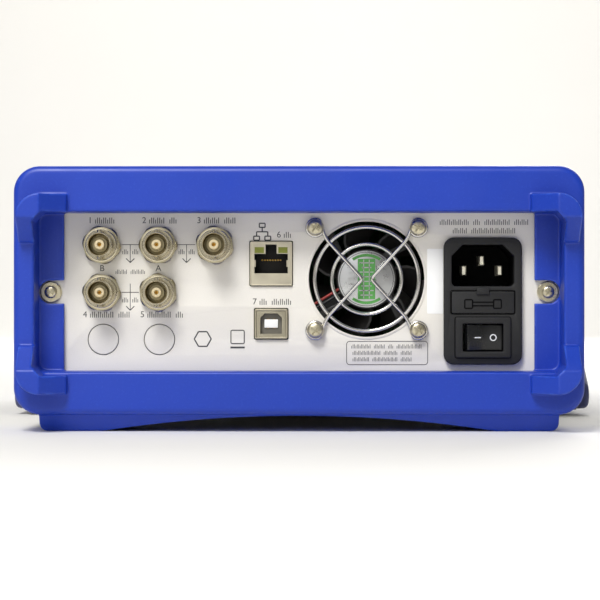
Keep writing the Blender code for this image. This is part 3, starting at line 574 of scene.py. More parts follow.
def bar(start, end, width):
    """A straight printed line, as an outline."""
    start, end = Vector(start), Vector(end)
    side = (end - start).normalized().orthogonal() * width / 2
    return [tuple(start - side), tuple(end - side), tuple(end + side), tuple(start + side)]


def line_bars(points, width):
    """A printed line along points, as short bars."""
    return [bar(a, b, width) for a, b in zip(points, points[1:])]


def ring_bars(centre, radius, width, steps=40, start=0, end=360):
    return line_bars(arc(centre, radius, start, end, steps), width)


def outline_bars(outline, width):
    return line_bars(outline + outline[:1], width)


# ---- case and bumpers


BUMPER_HALF = 109.4
BUMPER_LOW, BUMPER_HIGH = 6.7, 102.0
BUMPER_LIP, BUMPER_END = 115.0, 150.0
BUMPER_ROUNDS = 3
POCKET_END = REAR + 0.3
OPENING_HALF, OPENING_LOW, OPENING_HIGH = 101.3, 23.1, 84.4
STRIP_FACE = REAR + 2.8
RIB_LENGTH, RIB_PLATEAU = 18.3, 9.0
RIB_X = (100.9, 106.9)
RIB_Z = {1: (84.1, 91.0), -1: (-21.8, -14.8)}


def ring_section(inset=0.0):
    """A bumper's outline across the case, drawn in by an inset."""
    half = (BUMPER_HALF - inset, (BUMPER_HIGH - BUMPER_LOW) / 2 - inset)
    return rounded_box(half, 10 - inset, (0, (BUMPER_HIGH + BUMPER_LOW) / 2), 14)


def bumper_blank(name, side, pocket_end):
    """A bumper's ring with a round front edge, arched feet with sloped ends, and a pocket for the case."""
    edge = 2.7
    sections = [(side * BUMPER_LIP, ring_section(0.6)), (side * (BUMPER_LIP + 0.6), ring_section())]
    for step in range(9):
        turn = math.radians(90 * step / 8)
        depth = BUMPER_END - edge * (1 - math.sin(turn))
        sections.append((side * depth, ring_section(edge * (1 - math.cos(turn)))))
    arch_half, arch_height, foot_half, corner = 76, 6.1, 100, 3
    radius = (arch_half**2 + arch_height**2) / (2 * arch_height)
    spread = math.degrees(math.asin(arch_half / radius))
    arch = arc((0, arch_height - radius), radius, 90 - spread, 90 + spread, 48)
    left = arc((corner - foot_half, corner), corner, 270, 180, 8)
    right = arc((foot_half - corner, corner), corner, 360, 270, 8)
    top = BUMPER_LOW + 1.5
    feet = [(foot_half, top), *right, *arch, *left, (-foot_half, top)]
    slope = [(side * 147, 8.6), (side * 142.2, -1), (side * 152, -1)]
    bumper = solid(name, prism(feet, *sorted((side * 118, side * 146))))
    combine(bumper, "DIFFERENCE", prism(slope, -110, 110, "X"))
    combine(bumper, "UNION", loft(sections))
    pocket = rounded_box((106.8, 44.3), 4.3, (0, 54.3), 8)
    combine(bumper, "DIFFERENCE", prism(pocket, *sorted((0, pocket_end))))
    return bumper


def rib_outline(side_x, side_z):
    """An L-shaped rib round one corner of the rear opening."""
    (edge_x, outer_x), (edge_z, outer_z) = RIB_X, RIB_Z[side_z]
    bend, inner_bend = 9, 3.6
    outline = [(edge_x, outer_z - RIB_LENGTH), (outer_x, outer_z - RIB_LENGTH),
               *arc((outer_x - bend, outer_z - bend), bend, 0, 90, 12),
               (outer_x - RIB_LENGTH, outer_z), (outer_x - RIB_LENGTH, edge_z),
               (edge_x - inner_bend, edge_z), (edge_x, edge_z - inner_bend)]
    return [(side_x * x, side_z * z) for x, z in outline]


def rib_ramps(side_x, side_z):
    """The wedges that slope a rib's arms down from the plateau at its corner."""
    (edge_x, outer_x), (edge_z, outer_z) = RIB_X, RIB_Z[side_z]
    top, low = BUMPER_END + 12, BUMPER_END + 3
    past = low - (top - low) / (RIB_LENGTH - RIB_PLATEAU)

    def wedge(outer):
        start, end = outer - RIB_PLATEAU, outer - RIB_LENGTH - 1
        return [(start, top), (start, top + 1), (end, top + 1), (end, past)]

    upright_arm = [(y, side_z * z) for z, y in wedge(outer_z)]
    level_arm = [(side_x * x, y) for x, y in wedge(outer_x)]
    across_x = sorted((side_x * (outer_x + 1), side_x * (edge_x - 1)))
    across_z = sorted((side_z * (outer_z + 1), side_z * (edge_z - 1)))
    return [prism(upright_arm, *across_x, "X"), prism(level_arm, *across_z, "Z")]


def opening_cut(half, low, high, radius, edge, start):
    """A cutter's sections for a bumper's opening, which flare to round the opening's edge."""
    centre, height = (0, (high + low) / 2), (high - low) / 2

    def section(depth, grow):
        return (depth, rounded_box((half + grow, height + grow), radius + grow, centre, 10))

    sections = [section(start, 0)]
    for step in range(7):
        turn = math.radians(90 * step / 6)
        sections.append(section(BUMPER_END - edge * (1 - math.sin(turn)), edge * (1 - math.cos(turn))))
    return [*sections, section(BUMPER_END + 5, edge)]


def build_rear_bumper():
    """The rear ring: feet, a pocket for the case, strips at both sides, and four corner ribs."""
    bumper = bumper_blank("rear_bumper_moulding", 1, POCKET_END)
    opening = opening_cut(OPENING_HALF, OPENING_LOW, OPENING_HIGH, 3.5, 0.9, STRIP_FACE)
    combine(bumper, "DIFFERENCE", loft(opening))
    height = (OPENING_HIGH - OPENING_LOW) / 2
    cuts = [rounded_box((91.5, height), 0.3, (0, OPENING_LOW + height), 2)]
    for name, side in (("case_screw_left", 1), ("case_screw_right", -1)):
        x, z = across(name)
        notch = [(side * a, b) for a, b in arc((side * x, z), 4.5, -90, 90, 20)]
        cuts.append([(side * 91, z - 4.5), *notch, (side * 91, z + 4.5)])
    for cut in cuts:
        combine(bumper, "DIFFERENCE", prism(cut, REAR - 0.5, STRIP_FACE + 0.5))
    for side_x in (-1, 1):
        for side_z in (-1, 1):
            rib = solid("rib", prism(rib_outline(side_x, side_z), BUMPER_END - 4, BUMPER_END + 12))
            combine(rib, "DIFFERENCE", merged(rib_ramps(side_x, side_z)))
            mesh = bmesh.new()
            mesh.from_mesh(rib.data)
            bpy.data.objects.remove(rib, do_unlink=True)
            combine(bumper, "UNION", mesh)
    soften(bumper, 0.42 * MM, BUMPER_ROUNDS, 0.3)
    settle(bumper, "blue", node="rear_bumper")


def build_front_bumper():
    bumper = bumper_blank("front_bumper_moulding", -1, -133.1)
    low, high = (corner.z for corner in span("front_panel"))
    sections = opening_cut(102.5, low - 0.3, high + 0.3, 6, 1.2, 120)
    combine(bumper, "DIFFERENCE", loft([(-depth, outline) for depth, outline in sections]))
    soften(bumper, 0.5 * MM, BUMPER_ROUNDS, 0.3)
    settle(bumper, "blue", node="front_bumper")


def half_tube(node):
    """Half of the case's tube, as an outline: up one side, across and down the other, then back inside."""
    thickness, corner = 1.2, 4.0
    low, high = span(node)
    lower = node == "bottom_chassis"
    seam, far, sign = (high.z, low.z, 1) if lower else (low.z, high.z, -1)

    def run(inset):
        reach, edge, radius = high.x - inset, far + sign * inset, corner - inset
        right = arc((reach - radius, edge + sign * radius), radius, 0, -90 * sign, 8)
        left = [(-x, z) for x, z in reversed(right)]
        return [(reach, seam), *right, *left, (-reach, seam)]

    return run(0) + list(reversed(run(thickness)))


def build_case():
    """The painted sheet shells, with slots through both sides near the rear."""
    for node in ("bottom_chassis", "top_cover"):
        low, high = span(node)
        centre = low.z + 24 if node == "bottom_chassis" else high.z - 24
        outlines = [rounded_box((1.6, 11), 1.55, (30 + 7.5 * index, centre)) for index in range(9)]
        slots = merged([prism(outline, -2 * high.x, 2 * high.x, "X") for outline in outlines])
        piece(f"{node}_sheet", prism(half_tube(node), low.y, high.y), "case", node, 0.25, 2, slots)


def build_rear_panel():
    """The rear plate with its holes, the fan hole's rolled lip, two blanking plugs and a blank sticker."""
    low, high = span("rear_panel")
    blanks = ("blanking_disc_left", "blanking_disc_right")
    holes = [(f"rear_bnc_{index}", 4.8, 40) for index in range(1, 6)]
    holes += [(name, 6.1, 64) for name in blanks]
    holes += [(name, 1.7, 24) for name in ("case_screw_left", "case_screw_right")]
    holes += [(f"fan_screw_{index}", 1.7, 24) for index in range(1, 5)]
    holes.append(("fan_impeller", 22.5, 128))
    outlines = [rounded_box(half_size("rear_panel"), 4, (0, (low.z + high.z) / 2))]
    outlines += [circle(radius, steps, across(name)) for name, radius, steps in holes]
    for name in ("lan_jack", "usb_device_socket"):
        outlines.append(rounded_box(half_size(name, 0.3), 0.6, across(name)))
    outlines.append(rounded_box((13.8, 23.3), 2, across("inlet_housing")))
    plate("rear_panel_plate", outlines, low.y, high.y, "panel", 0.15, "rear_panel")
    lip = [(-0.2, 22.6), (0.25, 22.6), (0.38, 22.8), (0.38, 23.1), (0.2, 23.5), (-0.2, 23.7)]
    piece("fan_hole_lip", turned(outward(lip, REAR), 128, across("fan_impeller"), closed=True), "panel")
    plug = outward([(-2.7, 7.4), (-1.5, 7.4), (-1.5, 5.85), (-0.2, 5.85), (-0.02, 5.65)], REAR)
    for name in blanks:
        piece(f"{name}_plug", turned(plug, 64, across(name)), "panel", name)
    sticker = rounded_box((3.1, 12.65), 0.3, (-53.0, 57.9), 3)
    plate("blank_sticker", [sticker], REAR + 0.01, REAR + 0.11, "sticker", 0.02)


# ---- coaxial sockets


NUT_TURNS = {"rear_bnc_1": 12, "rear_bnc_2": 0, "rear_bnc_3": 22, "rear_bnc_4": 8, "rear_bnc_5": 26}
NUT_TRIM = ((0.35, 7.55), (2.3, 7.55), (2.8, 6.9), (2.8, 20), (-1, 20), (-1, 7.0), (0.1, 7.0))
COLLAR = ((0.2, 4.6), (2.7, 4.6), (2.7, 6.4), (3.0, 6.4), (3.05, 6.1), (4.2, 6.1), (4.5, 5.85), (4.5, 4.95),
          (4.2, 4.85), (4.2, 4.3), (0.2, 4.3))
BARREL = ((-7.8, 4.5), (0.2, 4.5), (4.0, 4.78), (8.1, 4.78), (8.2, 4.62), (8.7, 4.62), (8.8, 4.8),
          (11.6, 4.8), (12.0, 4.6), (12.0, 4.28), (11.7, 4.12), (6.0, 4.12), (5.6, 3.9), (4.0, 3.9),
          (4.0, 2.0), (-7.8, 2.0))
BORE = ((3.9, 3.85), (5.2, 3.85), (5.3, 3.1), (8.2, 3.05), (8.4, 2.9), (8.4, 2.0), (3.9, 2.0))
INSULATOR = ((3.9, 1.98), (9.9, 1.95), (10.3, 1.85), (10.45, 1.6), (10.45, 0.95), (10.2, 0.8), (3.9, 0.8))
CONTACT = ((3.5, 0.8), (9.5, 0.78), (9.8, 0.66), (9.8, 0.5), (5.0, 0.48))


def coaxial_socket(node, face, out):
    """A plated coaxial socket, its profiles counted from its panel's face outwards."""
    centre = across(node)

    def ring(profile, steps, closed=True):
        return turned(outward(profile, face, out), steps, centre, closed=closed)

    turn = NUT_TURNS.get(node, 30)
    hexagon = arc(centre, 14 / math.sqrt(3), turn, turn + 360, 6)[:-1]
    nut = prism(hexagon, face + out * 0.3, face + out * 2.75)
    # The nut is in darker nickel: painted shade behind the collar.
    piece(f"{node}_nut", nut, "nut", bevel=0.22, segments=2, cut=ring(NUT_TRIM, 64))
    slot = block((centre[0], face + out * 4.3, centre[1] + 6.0), (5.2, 1.6, 1.5))
    piece(f"{node}_collar", ring(COLLAR, 72), "nickel", cut=slot)
    lugs = []
    for side in (-1, 1):
        profile = outward([(4.4, 0.95), (5.6, 0.95), (5.75, 0.75)], centre[1], side)
        lugs.append(turned(profile, 24, (centre[0], face + out * 9.6), "Z"))
    piece(f"{node}_barrel", merged([ring(BARREL, 72), *lugs]), "nickel", node)
    # The bore ring is in darker nickel: painted shade inside the barrel.
    piece(f"{node}_bore", ring(BORE, 56), "socket_bore_painted_shade")
    piece(f"{node}_insulator", ring(INSULATOR, 48), "insulator")
    piece(f"{node}_contact", ring(CONTACT, 32, False), "gold")


def build_coaxial_sockets():
    for index in range(1, 6):
        coaxial_socket(f"rear_bnc_{index}", REAR, 1)
    for node in ("front_bnc_a", "front_bnc_b"):
        coaxial_socket(node, FRONT, -1)


# ---- screws


def cross_recess(centre, top, reach, depth):
    """A cross-point recess, to be cut from a screw's head."""
    shapes = []
    for angle in (35, 125):
        tip = Vector((math.cos(math.radians(angle)), math.sin(math.radians(angle)))) * reach
        shapes.append(bar(Vector(centre) - tip, Vector(centre) + tip, reach * 0.36))
    return merged([prism(shape, top - depth, top + depth) for shape in shapes])


def pan_screw(node, seat, head, height, washer=None):
    """A pan-head screw that stands on a seat facing the rear, with an optional washer."""
    centre = across(node)
    profile = [(span(node)[0].y, 1.3), (seat, 1.4), (seat, head * 0.97), (seat + height * 0.15, head)]
    for step in range(1, 8):
        turn = step / 8 * math.pi / 2
        profile.append((seat + height * (0.15 + 0.8 * math.sin(turn)), head * math.cos(turn) ** 0.55))
    profile.append((seat + height * 0.97, head * 0.18))
    recess = cross_recess(centre, seat + height, head * 0.6, height * 0.7)
    piece(f"{node}_head", turned(profile, 48, centre), "screw", node, cut=recess)
    if washer:
        hole = head * 0.7
        ring = [(0, hole), (0, washer), (0.45, washer), (0.7, washer * 0.9), (0.72, hole)]
        piece(f"{node}_washer", turned(outward(ring, seat - 0.75), 56, centre, closed=True), "screw")


def build_screws():
    for node in ("case_screw_left", "case_screw_right"):
        pan_screw(node, REAR + 1.1, 2.5, 1.55, 4.2)
    for index in range(1, 5):
        node = f"fan_screw_{index}"
        pan_screw(node, span(node)[1].y - 2.1, 3.3, 2.1)


# ---- fan


def build_fan_frame():
    """The fan's moulded frame: a square with a round bore, four struts and the motor's hub."""
    low, high = span("fan_frame")
    centre = across("fan_frame")
    bores = [circle(23.5, 96, centre)]
    bores += [circle(1.8, 24, across(f"fan_screw_{index}")) for index in range(1, 5)]
    cut = merged([prism(bore, low.y - 1, high.y + 1) for bore in bores])
    square = prism(rounded_box((25, 25), 4, centre), low.y, high.y)
    piece("fan_frame_moulding", square, "black", "fan_frame", 0.4, 2, cut)
    hub = outward([(-3.2, 11.8), (-0.9, 11.8), (-0.5, 11.5), (-0.5, 11.0)], high.y)
    piece("fan_hub", turned(hub, 72, centre), "black")
    lean = 14
    for index, turn in enumerate((38, 128, 218, 308)):
        ends = Vector(polar(turn, 11.0)), Vector(polar(turn + lean, 24.0))
        strut = bar(*[end + Vector(centre) for end in ends], 2.6)
        piece(f"fan_strut_{index}", prism(strut, high.y - 2.5, high.y - 0.5), "black", bevel=0.3)


def build_hub_label():
    """The round motor label: silver with a green band across it, thin rings and plain lines."""
    x, z = across("fan_frame")
    face = span("fan_frame")[1].y - 0.5
    disc = outward([(0, 11.1), (0.06, 11.1), (0.10, 11.0)], face)
    piece("hub_label", turned(disc, 72, (x, z)), "hub_silver")
    arcs = []
    for start in (55, 235):
        arcs += ring_bars((x, z), 9.3, 1.1, 14, start, start + 70)
    ink("hub_band", [rectangle((x - 3.4, z - 7.9), (x + 3.4, z + 7.9))], "hub_green", face + 0.12)
    ink("hub_arcs", arcs, "hub_green", face + 0.12)
    ink("hub_ring", ring_bars((x, z), 10.5, 0.2, 60), "print", face + 0.14)
    lines = [bar((x + side * 1.1, z - 7.6), (x + side * 1.1, z + 7.6), 0.35) for side in (-1, 1)]
    for index, width in enumerate((2.9, 1.9, 2.7, 2.2, 2.9, 2.0, 2.8, 2.3)):
        row = z + 6.3 - 1.8 * index
        lines.append(bar((x - width, row), (x + width, row), 0.45))
    for side in (-1, 1):
        for index, width in enumerate((1.2, 1.8, 1.4)):
            row = z + 2.4 - 2.2 * index
            lines.append(bar((x + side * (6.3 - width), row), (x + side * (6.3 + width / 2), row), 0.4))
    ink("hub_lines", lines, "hub_silver", face + 0.17)


def polar(angle, radius):
    return (radius * math.cos(math.radians(angle)), radius * math.sin(math.radians(angle)))


def blade(turn, centre, low, high):
    """One curved blade, thin and twisted, between two depths."""
    steps, sweep, thickness = 6, 34, 0.5
    leading = [(0, 11.0), (6, 16.5), (15, 21.9)]
    trailing = [(lead + math.degrees(thickness * 2 / radius), radius) for lead, radius in reversed(leading)]
    sections = []
    for step in range(steps + 1):
        angle = turn + sweep * step / steps
        outline = [polar(angle + lead, radius) for lead, radius in leading + trailing]
        sections.append((high + (low - high) * step / steps, shifted(outline, centre)))
    return loft(sections)


def build_impeller():
    """Seven swept blades on a cup-shaped hub."""
    low, high = span("fan_impeller")
    centre = across("fan_impeller")
    hub = [(low.y, 10.4), (low.y + 0.8, 11.3), (high.y - 0.3, 11.5), (high.y, 11.2)]
    blades = [blade(360 * index / 7, centre, low.y + 0.6, high.y - 0.4) for index in range(7)]
    rotor = merged([turned(hub, 64, centre), *blades])
    piece("impeller_rotor", rotor, "black", "fan_impeller", body="fan_rotor")


def build_guard():
    """Two bright rings welded across two bent wires, with an eye round each screw."""
    wire = 0.75
    centre = Vector(across("fan_impeller"))
    eye_depth = REAR + 1.05
    wire_depth = eye_depth + 0.85
    for name, radius, node in (("outer", 20.2, "fan_guard"), ("inner", 13.6, None)):
        points = [(a, b, eye_depth - 0.02) for a, b in circle(radius, 72, centre)]
        rod(f"guard_{name}_ring", points, wire, "steel", True, node)
    for side in (-1, 1):
        runs = []
        for end in (1, -1):
            corner, tip = Vector((side * 20, end * 20)), Vector((side * 1.6, 0))
            toward = (tip - corner).normalized()
            run = []
            for step in range(15):
                angle = math.radians(200 - 20 * step)
                swirl = -toward * math.cos(angle) + toward.orthogonal() * math.sin(angle) * side * end
                run.append((corner + swirl * 3.25, eye_depth))
            run.append((corner + toward * 5.6, eye_depth + 0.45))
            run += [(corner.lerp(tip, share), wire_depth) for share in (0.45, 0.75, 0.9)]
            runs.append(run)
        path = runs[0] + [(Vector((side * 1.7, 0)), wire_depth)] + runs[1][::-1]
        points = [(centre.x + place.x, centre.y + place.y, depth) for place, depth in path]
        rod(f"guard_wire_{'left' if side > 0 else 'right'}", points, wire * 0.96, "steel")


def build_fan_wires():
    """The motor's red and black leads along the lower left strut."""
    x, z = across("fan_frame")
    depth = span("fan_frame")[1].y - 1.0
    for colour, offset in (("red", 0.9), ("black", -1.0)):
        bends = ((9.5, -4.0), (15.0, -7.4), (21.2, -11.2))
        points = [(x + a, z + b + offset, depth) for a, b in bends]
        rod(f"fan_lead_{colour}", points, 0.5, f"{colour}_wire")


# ---- data ports


def build_lan_jack():
    """The network socket: a tinned shell with a notched opening, two lights and eight contacts."""
    low, high = span("lan_jack")
    x, z = centre = across("lan_jack")
    face = high.y
    floor_z, shelf, notch, wide, key = z - 3.8, z + 3.8, z + 7.4, 6.5, 2.15
    opening = [(x - wide, floor_z), (x + wide, floor_z), (x + wide, shelf), (x + key, shelf),
               (x + key, notch), (x - key, notch), (x - key, shelf), (x - wide, shelf)]
    lights = [rectangle((x + side * 2.8, shelf + 0.3), (x + side * 6.4, shelf + 2.6)) for side in (-1, 1)]
    outer = rounded_box(half_size("lan_jack"), 0.6, centre, 4)
    rim = rounded_box(half_size("lan_jack", -0.45), 0.4, centre, 4)
    core = rounded_box(half_size("lan_jack", -0.6), 0.3, centre, 2)
    plate("lan_face", [outer, opening, *lights], face - 0.5, face - 0.15, "tin", 0.06, "lan_jack")
    plate("lan_rim", [outer, rim], low.y, face, "tin", 0.12)
    plate("lan_core", [core, opening], low.y + 2.4, face - 0.6, "black", 0.05, slot="tin_shell")
    plate("lan_back", [core], low.y + 1.0, low.y + 2.3, "black", 0.05, slot="tin_shell")
    for name, shape in zip(("left", "right"), reversed(lights)):
        piece(f"lan_light_{name}", prism(shape, face - 0.55, face - 0.22), "led")
    contacts = []
    for index in range(8):
        column = x + (index - 3.5) * 1.02
        ends = (column - 0.22, low.y + 3, shelf - 2.6), (column + 0.22, face - 3.2, shelf - 2.2)
        contacts.append(box(*ends))
    piece("lan_contacts", merged(contacts), "gold", slot="tin_shell")
    springs = [block((x + side * 6.25, face - 0.7, z), (0.5, 0.9, 2.6)) for side in (-1, 1)]
    piece("lan_springs", merged(springs), "tin", bevel=0.12, segments=2)


def build_usb_socket():
    low, high = span("usb_device_socket")
    x, z = centre = across("usb_device_socket")
    face = high.y
    outer = rounded_box(half_size("usb_device_socket"), 0.7, centre, 4)
    inner = rounded_box(half_size("usb_device_socket", -0.75), 0.5, centre, 4)
    fill = rounded_box(half_size("usb_device_socket", -0.8), 0.4, centre, 3)
    well = shifted([(-4.2, -3.95), (4.2, -3.95), *plug_top((4.2, 3.95), 1.7)], (x, z + 0.1))
    plate("usb_shell", [outer, inner], low.y, face, "darker_tin", 0.16, "usb_device_socket")
    plate("usb_face", [inner, well], face - 1.0, face - 0.35, "darker_tin", 0.08)
    plate("usb_well", [fill, well], face - 2.5, face - 1.05, "grey_plastic", 0.05)
    plate("usb_back", [fill], low.y + 0.8, face - 2.6, "grey_plastic", 0.05)
    tongue = block((x, face - 5.3, z + 0.1), (5.3, 7.0, 3.3))
    piece("usb_tongue", tongue, "white_plastic", bevel=0.2)
    places = [(x + side * 1.25, face - 4.6, z + 0.1 + up * 1.7) for side in (-1, 1) for up in (-1, 1)]
    strips = [block(place, (1.0, 5.0, 0.12)) for place in places]
    piece("usb_contacts", merged(strips), "gold", slot="tin_shell")


# ---- mains inlet


def rounded_plug(half, chamfer, centre, radius):
    """The mains well's outline: two cut upper corners and two round lower ones."""
    right = arc((half[0] - radius, radius - half[1]), radius, -90, 0, 6)
    left = [(-a, b) for a, b in reversed(right)]
    return shifted([*right, *plug_top(half, chamfer), *left], centre)


def build_inlet():
    """The black inlet module: flange, connector well, fuse drawer and switch frame."""
    low = span("inlet_housing")[0]
    centre = across("inlet_housing")
    x, face = centre[0], REAR + 2.6
    well_z, drawer_z, rocker_z = (middle(node).z for node in ("inlet_pins", "fuse_drawer", "power_rocker"))
    well = rounded_plug((12.05, 8.05), 4.3, (x, well_z), 1.6)
    drawer = rounded_box((half_size("fuse_drawer", 0.28)[0], 4.5), 0.6, (x, drawer_z), 4)
    window = rounded_box((7.85, 5.4), 0.5, (x, rocker_z), 4)
    holes = [well, drawer, window]
    outer = rounded_box(half_size("inlet_housing"), 4, centre, 10)
    plate("inlet_flange", [outer, *holes], REAR + 0.3, face, "inlet", 0.5, "inlet_housing")
    body = rounded_box((13.5, 23.0), 1.8, centre, 6)
    # The body, the switch's joint and the block in the well are in near-black plastic: painted shade in the
    # inlet's wells and seams.
    plate("inlet_body", [body, *holes], low.y, REAR + 0.35, "inlet_painted_shade", 0.05)
    rim = rounded_box((10.75, 7.85), 0.8, (x, rocker_z), 5)
    plate("switch_frame", [rim, window], face - 0.3, face + 1.2, "inlet", 0.3)
    groove = rounded_box((11.05, 8.15), 1.0, (x, rocker_z), 5)
    plate("switch_joint", [groove, rim], face - 0.2, face + 0.02, "inlet_painted_shade", 0.02)
    block_outline = rounded_plug((11.75, 7.75), 4.2, (x, well_z), 1.5)
    piece("inlet_block", prism(block_outline, low.y + 0.3, REAR - 17), "inlet_painted_shade")
    blades = []
    base, tip = (corner.y for corner in span("inlet_pins"))
    for column, height in ((-7.0, -1.9), (7.0, -1.9), (0.0, 2.0)):
        place = (x + column, well_z + height)
        full = rounded_box((1.0, 2.0), 0.15, place, 2)
        thin = rounded_box((0.6, 1.6), 0.12, place, 2)
        blades.append(loft([(base, full), (tip - 0.6, full), (tip, thin)]))
    piece("inlet_blades", merged(blades), "pin", "inlet_pins")


def build_drawer():
    """The fuse drawer, with a finger tab and a raised fuse symbol, and the glass fuse inside."""
    low = span("fuse_drawer")[0]
    x, z = centre = across("fuse_drawer")
    face = REAR + 3.15
    trough = box((x - 10.6, REAR - 12.9, z - 2.9), (x + 10.6, REAR - 7.1, z + 10))
    front = rounded_box((half_size("fuse_drawer")[0], 4.25), 0.5, centre, 3)
    drawer = prism(front, low.y, face)
    piece("fuse_drawer_moulding", drawer, "inlet", "fuse_drawer", 0.25, 2, trough, "fuse_carrier")
    tab = block((x, face + 0.2, z + 4.3), (5.0, 1.0, 2.6))
    piece("fuse_drawer_tab", tab, "inlet", bevel=0.3, body="fuse_carrier")
    lines = []
    for side in (-1, 1):
        lines += outline_bars(rounded_box((1.5, 1.7), 0.3, (x + side * 5.6, z - 0.6), 2), 0.5)
    lines += [bar((x - 4.1, z + height), (x + 4.1, z + height), 0.5) for height in (-1.3, 0.1)]
    relief = merged([prism(line, face - 0.05, face + 0.16) for line in lines])
    # The fuse symbol's raised lines are near-black: painted shade along the relief.
    piece("fuse_symbol", relief, "inlet_painted_shade", body="fuse_carrier")
    low, high = span("fuse")
    axis = middle("fuse")[1:]
    tube = turned([(low.x + 4, 2.35), (high.x - 4, 2.35)], 40, axis, "X")
    piece("fuse_tube", tube, "glass", "fuse", body="fuse_carrier", slot="fuse_glass")
    cap = ((-5, 2.6), (-0.3, 2.6), (0, 2.3))
    caps = [turned(outward(cap, end, out), 40, axis, "X") for end, out in ((low.x, -1), (high.x, 1))]
    piece("fuse_caps", merged(caps), "nickel", body="fuse_carrier", slot="fuse_glass")


def build_rocker():
    """The mains switch, at one end of its throw, with a dash and a ring on its halves."""
    pivot = located("Y", middle("inlet_housing").x, 36.0, 133.5)
    turn = Matrix.Translation(pivot) @ Matrix.Rotation(math.radians(12), 4, "Z")
    half, face, rise, curl = 7.0, 2.0, 1.5, 1.25

    def crown(along):
        return face + rise * (abs(along) / half) ** curl

    top = [(half * (1 - step / 6), crown(half * (1 - step / 6))) for step in range(13)]
    outline = [(-half, -1.0), (-half / 2, -5.0), (half / 2, -5.0), (half, -1.0), *top]
    cap = prism(outline, -5.0, 5.0, "Z")
    piece("rocker_cap", cap, "rocker", "power_rocker", 0.3, body="rocker", move=turn)
    slope = math.atan2(rise * curl * 0.55, half)
    ring = ring_bars((0, 0), 1.15, 0.42, 28)
    dash = [bar((-1.3, 0), (1.3, 0), 0.45)]
    for name, shapes, column, lean in (("ring", ring, -3.6, -slope), ("dash", dash, 2.6, slope)):
        mark = merged([prism(shape, 0.0, 0.10) for shape in shapes])
        place = Matrix.Translation((column * MM, (crown(column) + 0.05) * MM, 0))
        lay = turn @ place @ Matrix.Rotation(lean, 4, "Z")
        piece(f"rocker_{name}", mark, "pale_print", body="rocker", slot="rocker_plastic", move=lay)


# ---- printing on the rear panel


SMALL_CELL = 0.69  # width of one small-print place, in heights of its row
CAPTION, NUMBER = 2.3, 3.4
CAPTIONS = (
    ("1", 75.9, 81.6, (5,)), ("2", 53.2, 81.6, (4, 2)), ("3", 31.0, 81.6, (4, 3)), ("4", 73.9, 44.9, (6, 3)),
    ("5", 52.3, 44.9, (6, 2)), ("6", 4.6, 76.0, (2,)), ("7", 9.3, 49.9, (2, 5)),
)
SMALL_ROWS = (
    (-34.0, 32.5, (7, 4, 2, 9), 1.6), (-32.3, 30.0, (10, 5, 4), 1.6), (-32.3, 27.5, (6, 9, 4), 1.6),
    (-72.0, 80.9, (8, 2, 7, 4), 2.1), (-72.0, 77.6, (4, 12), 2.1), (65.9, 61.6, (4, 5), 1.7),
    (65.9, 69.4, (2, 2), 1.9), (43.9, 69.4, (2, 2), 1.9), (65.9, 50.6, (2, 2), 1.9),
)


def network_sign(x, z, size):
    """Three boxes joined by lines."""
    line, wide, high = size * 0.07, size * 0.17, size * 0.12
    lines = []
    for a, b in ((0, 0.38), (-0.33, -0.38), (0.33, -0.38)):
        around = rectangle((a * size - wide, b * size - high), (a * size + wide, b * size + high))
        lines += outline_bars(shifted(around, (x, z)), line)
    lines.append(bar((x - 0.33 * size, z), (x + 0.33 * size, z), line))
    for a, reach in ((0, 0.26), (-0.33, -0.26), (0.33, -0.26)):
        lines.append(bar((x + a * size, z), (x + a * size, z + reach * size), line))
    return lines


def drop_mark(x, line_z, top, foot):
    """A cross line between two sockets, with a stem and an arrow that points down."""
    reach, head = 3.4, 1.6
    return [bar((x - reach, line_z), (x + reach, line_z), 0.25), bar((x, top), (x, foot), 0.25),
            bar((x - head, foot + head), (x, foot), 0.35), bar((x + head, foot + head), (x, foot), 0.35)]


def row_half(words, height):
    """Half the width of a row of small print."""
    return SMALL_CELL * height * (sum(words) + len(words) - 1) / 2


def small_print(x, z, words, height):
    """A centred row of short upright ticks, grouped like words, that stands in for small print."""
    cell = SMALL_CELL * height
    column = x + row_half(words, height)
    shapes = []
    for word in words:
        for tick in range(2 * word):
            place = column - cell * (tick + 0.5) / 2
            top = z + (height / 2 if tick % 3 else height / 6)
            shapes.append(bar((place, z - height / 2), (place, top), 0.13 * height))
        column -= cell * (word + 1)
    return shapes


def print_rear_panel():
    """Numbers, plain signs, marks and rules on the rear panel."""
    small = []
    for text, x, z, words in CAPTIONS:
        label(f"print_{text}", text, (x + row_half(words, CAPTION) + 1.7, z), ON_REAR, NUMBER, math.pi)
        small += small_print(x, z, words, CAPTION)
    for text, x in (("B", 76.9), ("A", 54.9)):
        label(f"print_{text}", text, (x, 62.9), ON_REAR, NUMBER, math.pi)
    shapes = []
    for mark in ((65.9, 72.2, 72.2, 65.2), (43.9, 72.2, 72.2, 65.2), (65.9, 53.6, 57.0, 46.6)):
        shapes += drop_mark(*mark)
    shapes += network_sign(14.4, 77.2, 6.6)
    shapes += outline_bars(arc((37.6, 35.4), 3.3, 0, 360, 6)[:-1], 0.5)
    shapes += outline_bars(rounded_box((2.6, 2.6), 0.5, (24.0, 36.2), 3), 0.4)
    shapes.append(bar((21.2, 32.1), (26.8, 32.1), 0.7))
    ink("panel_signs", shapes)
    rings = []
    for name in ("blanking_disc_left", "blanking_disc_right"):
        rings += ring_bars(across(name), 5.98, 0.2, 48)
    ink("blank_rings", rings, rise=0.02)
    ink("note_frame", outline_bars(rounded_box((15.8, 4.55), 1.2, (-34.3, 29.95), 4), 0.25))
    for row in SMALL_ROWS:
        small += small_print(*row)
    ink("small_print", small)


# ---- front side


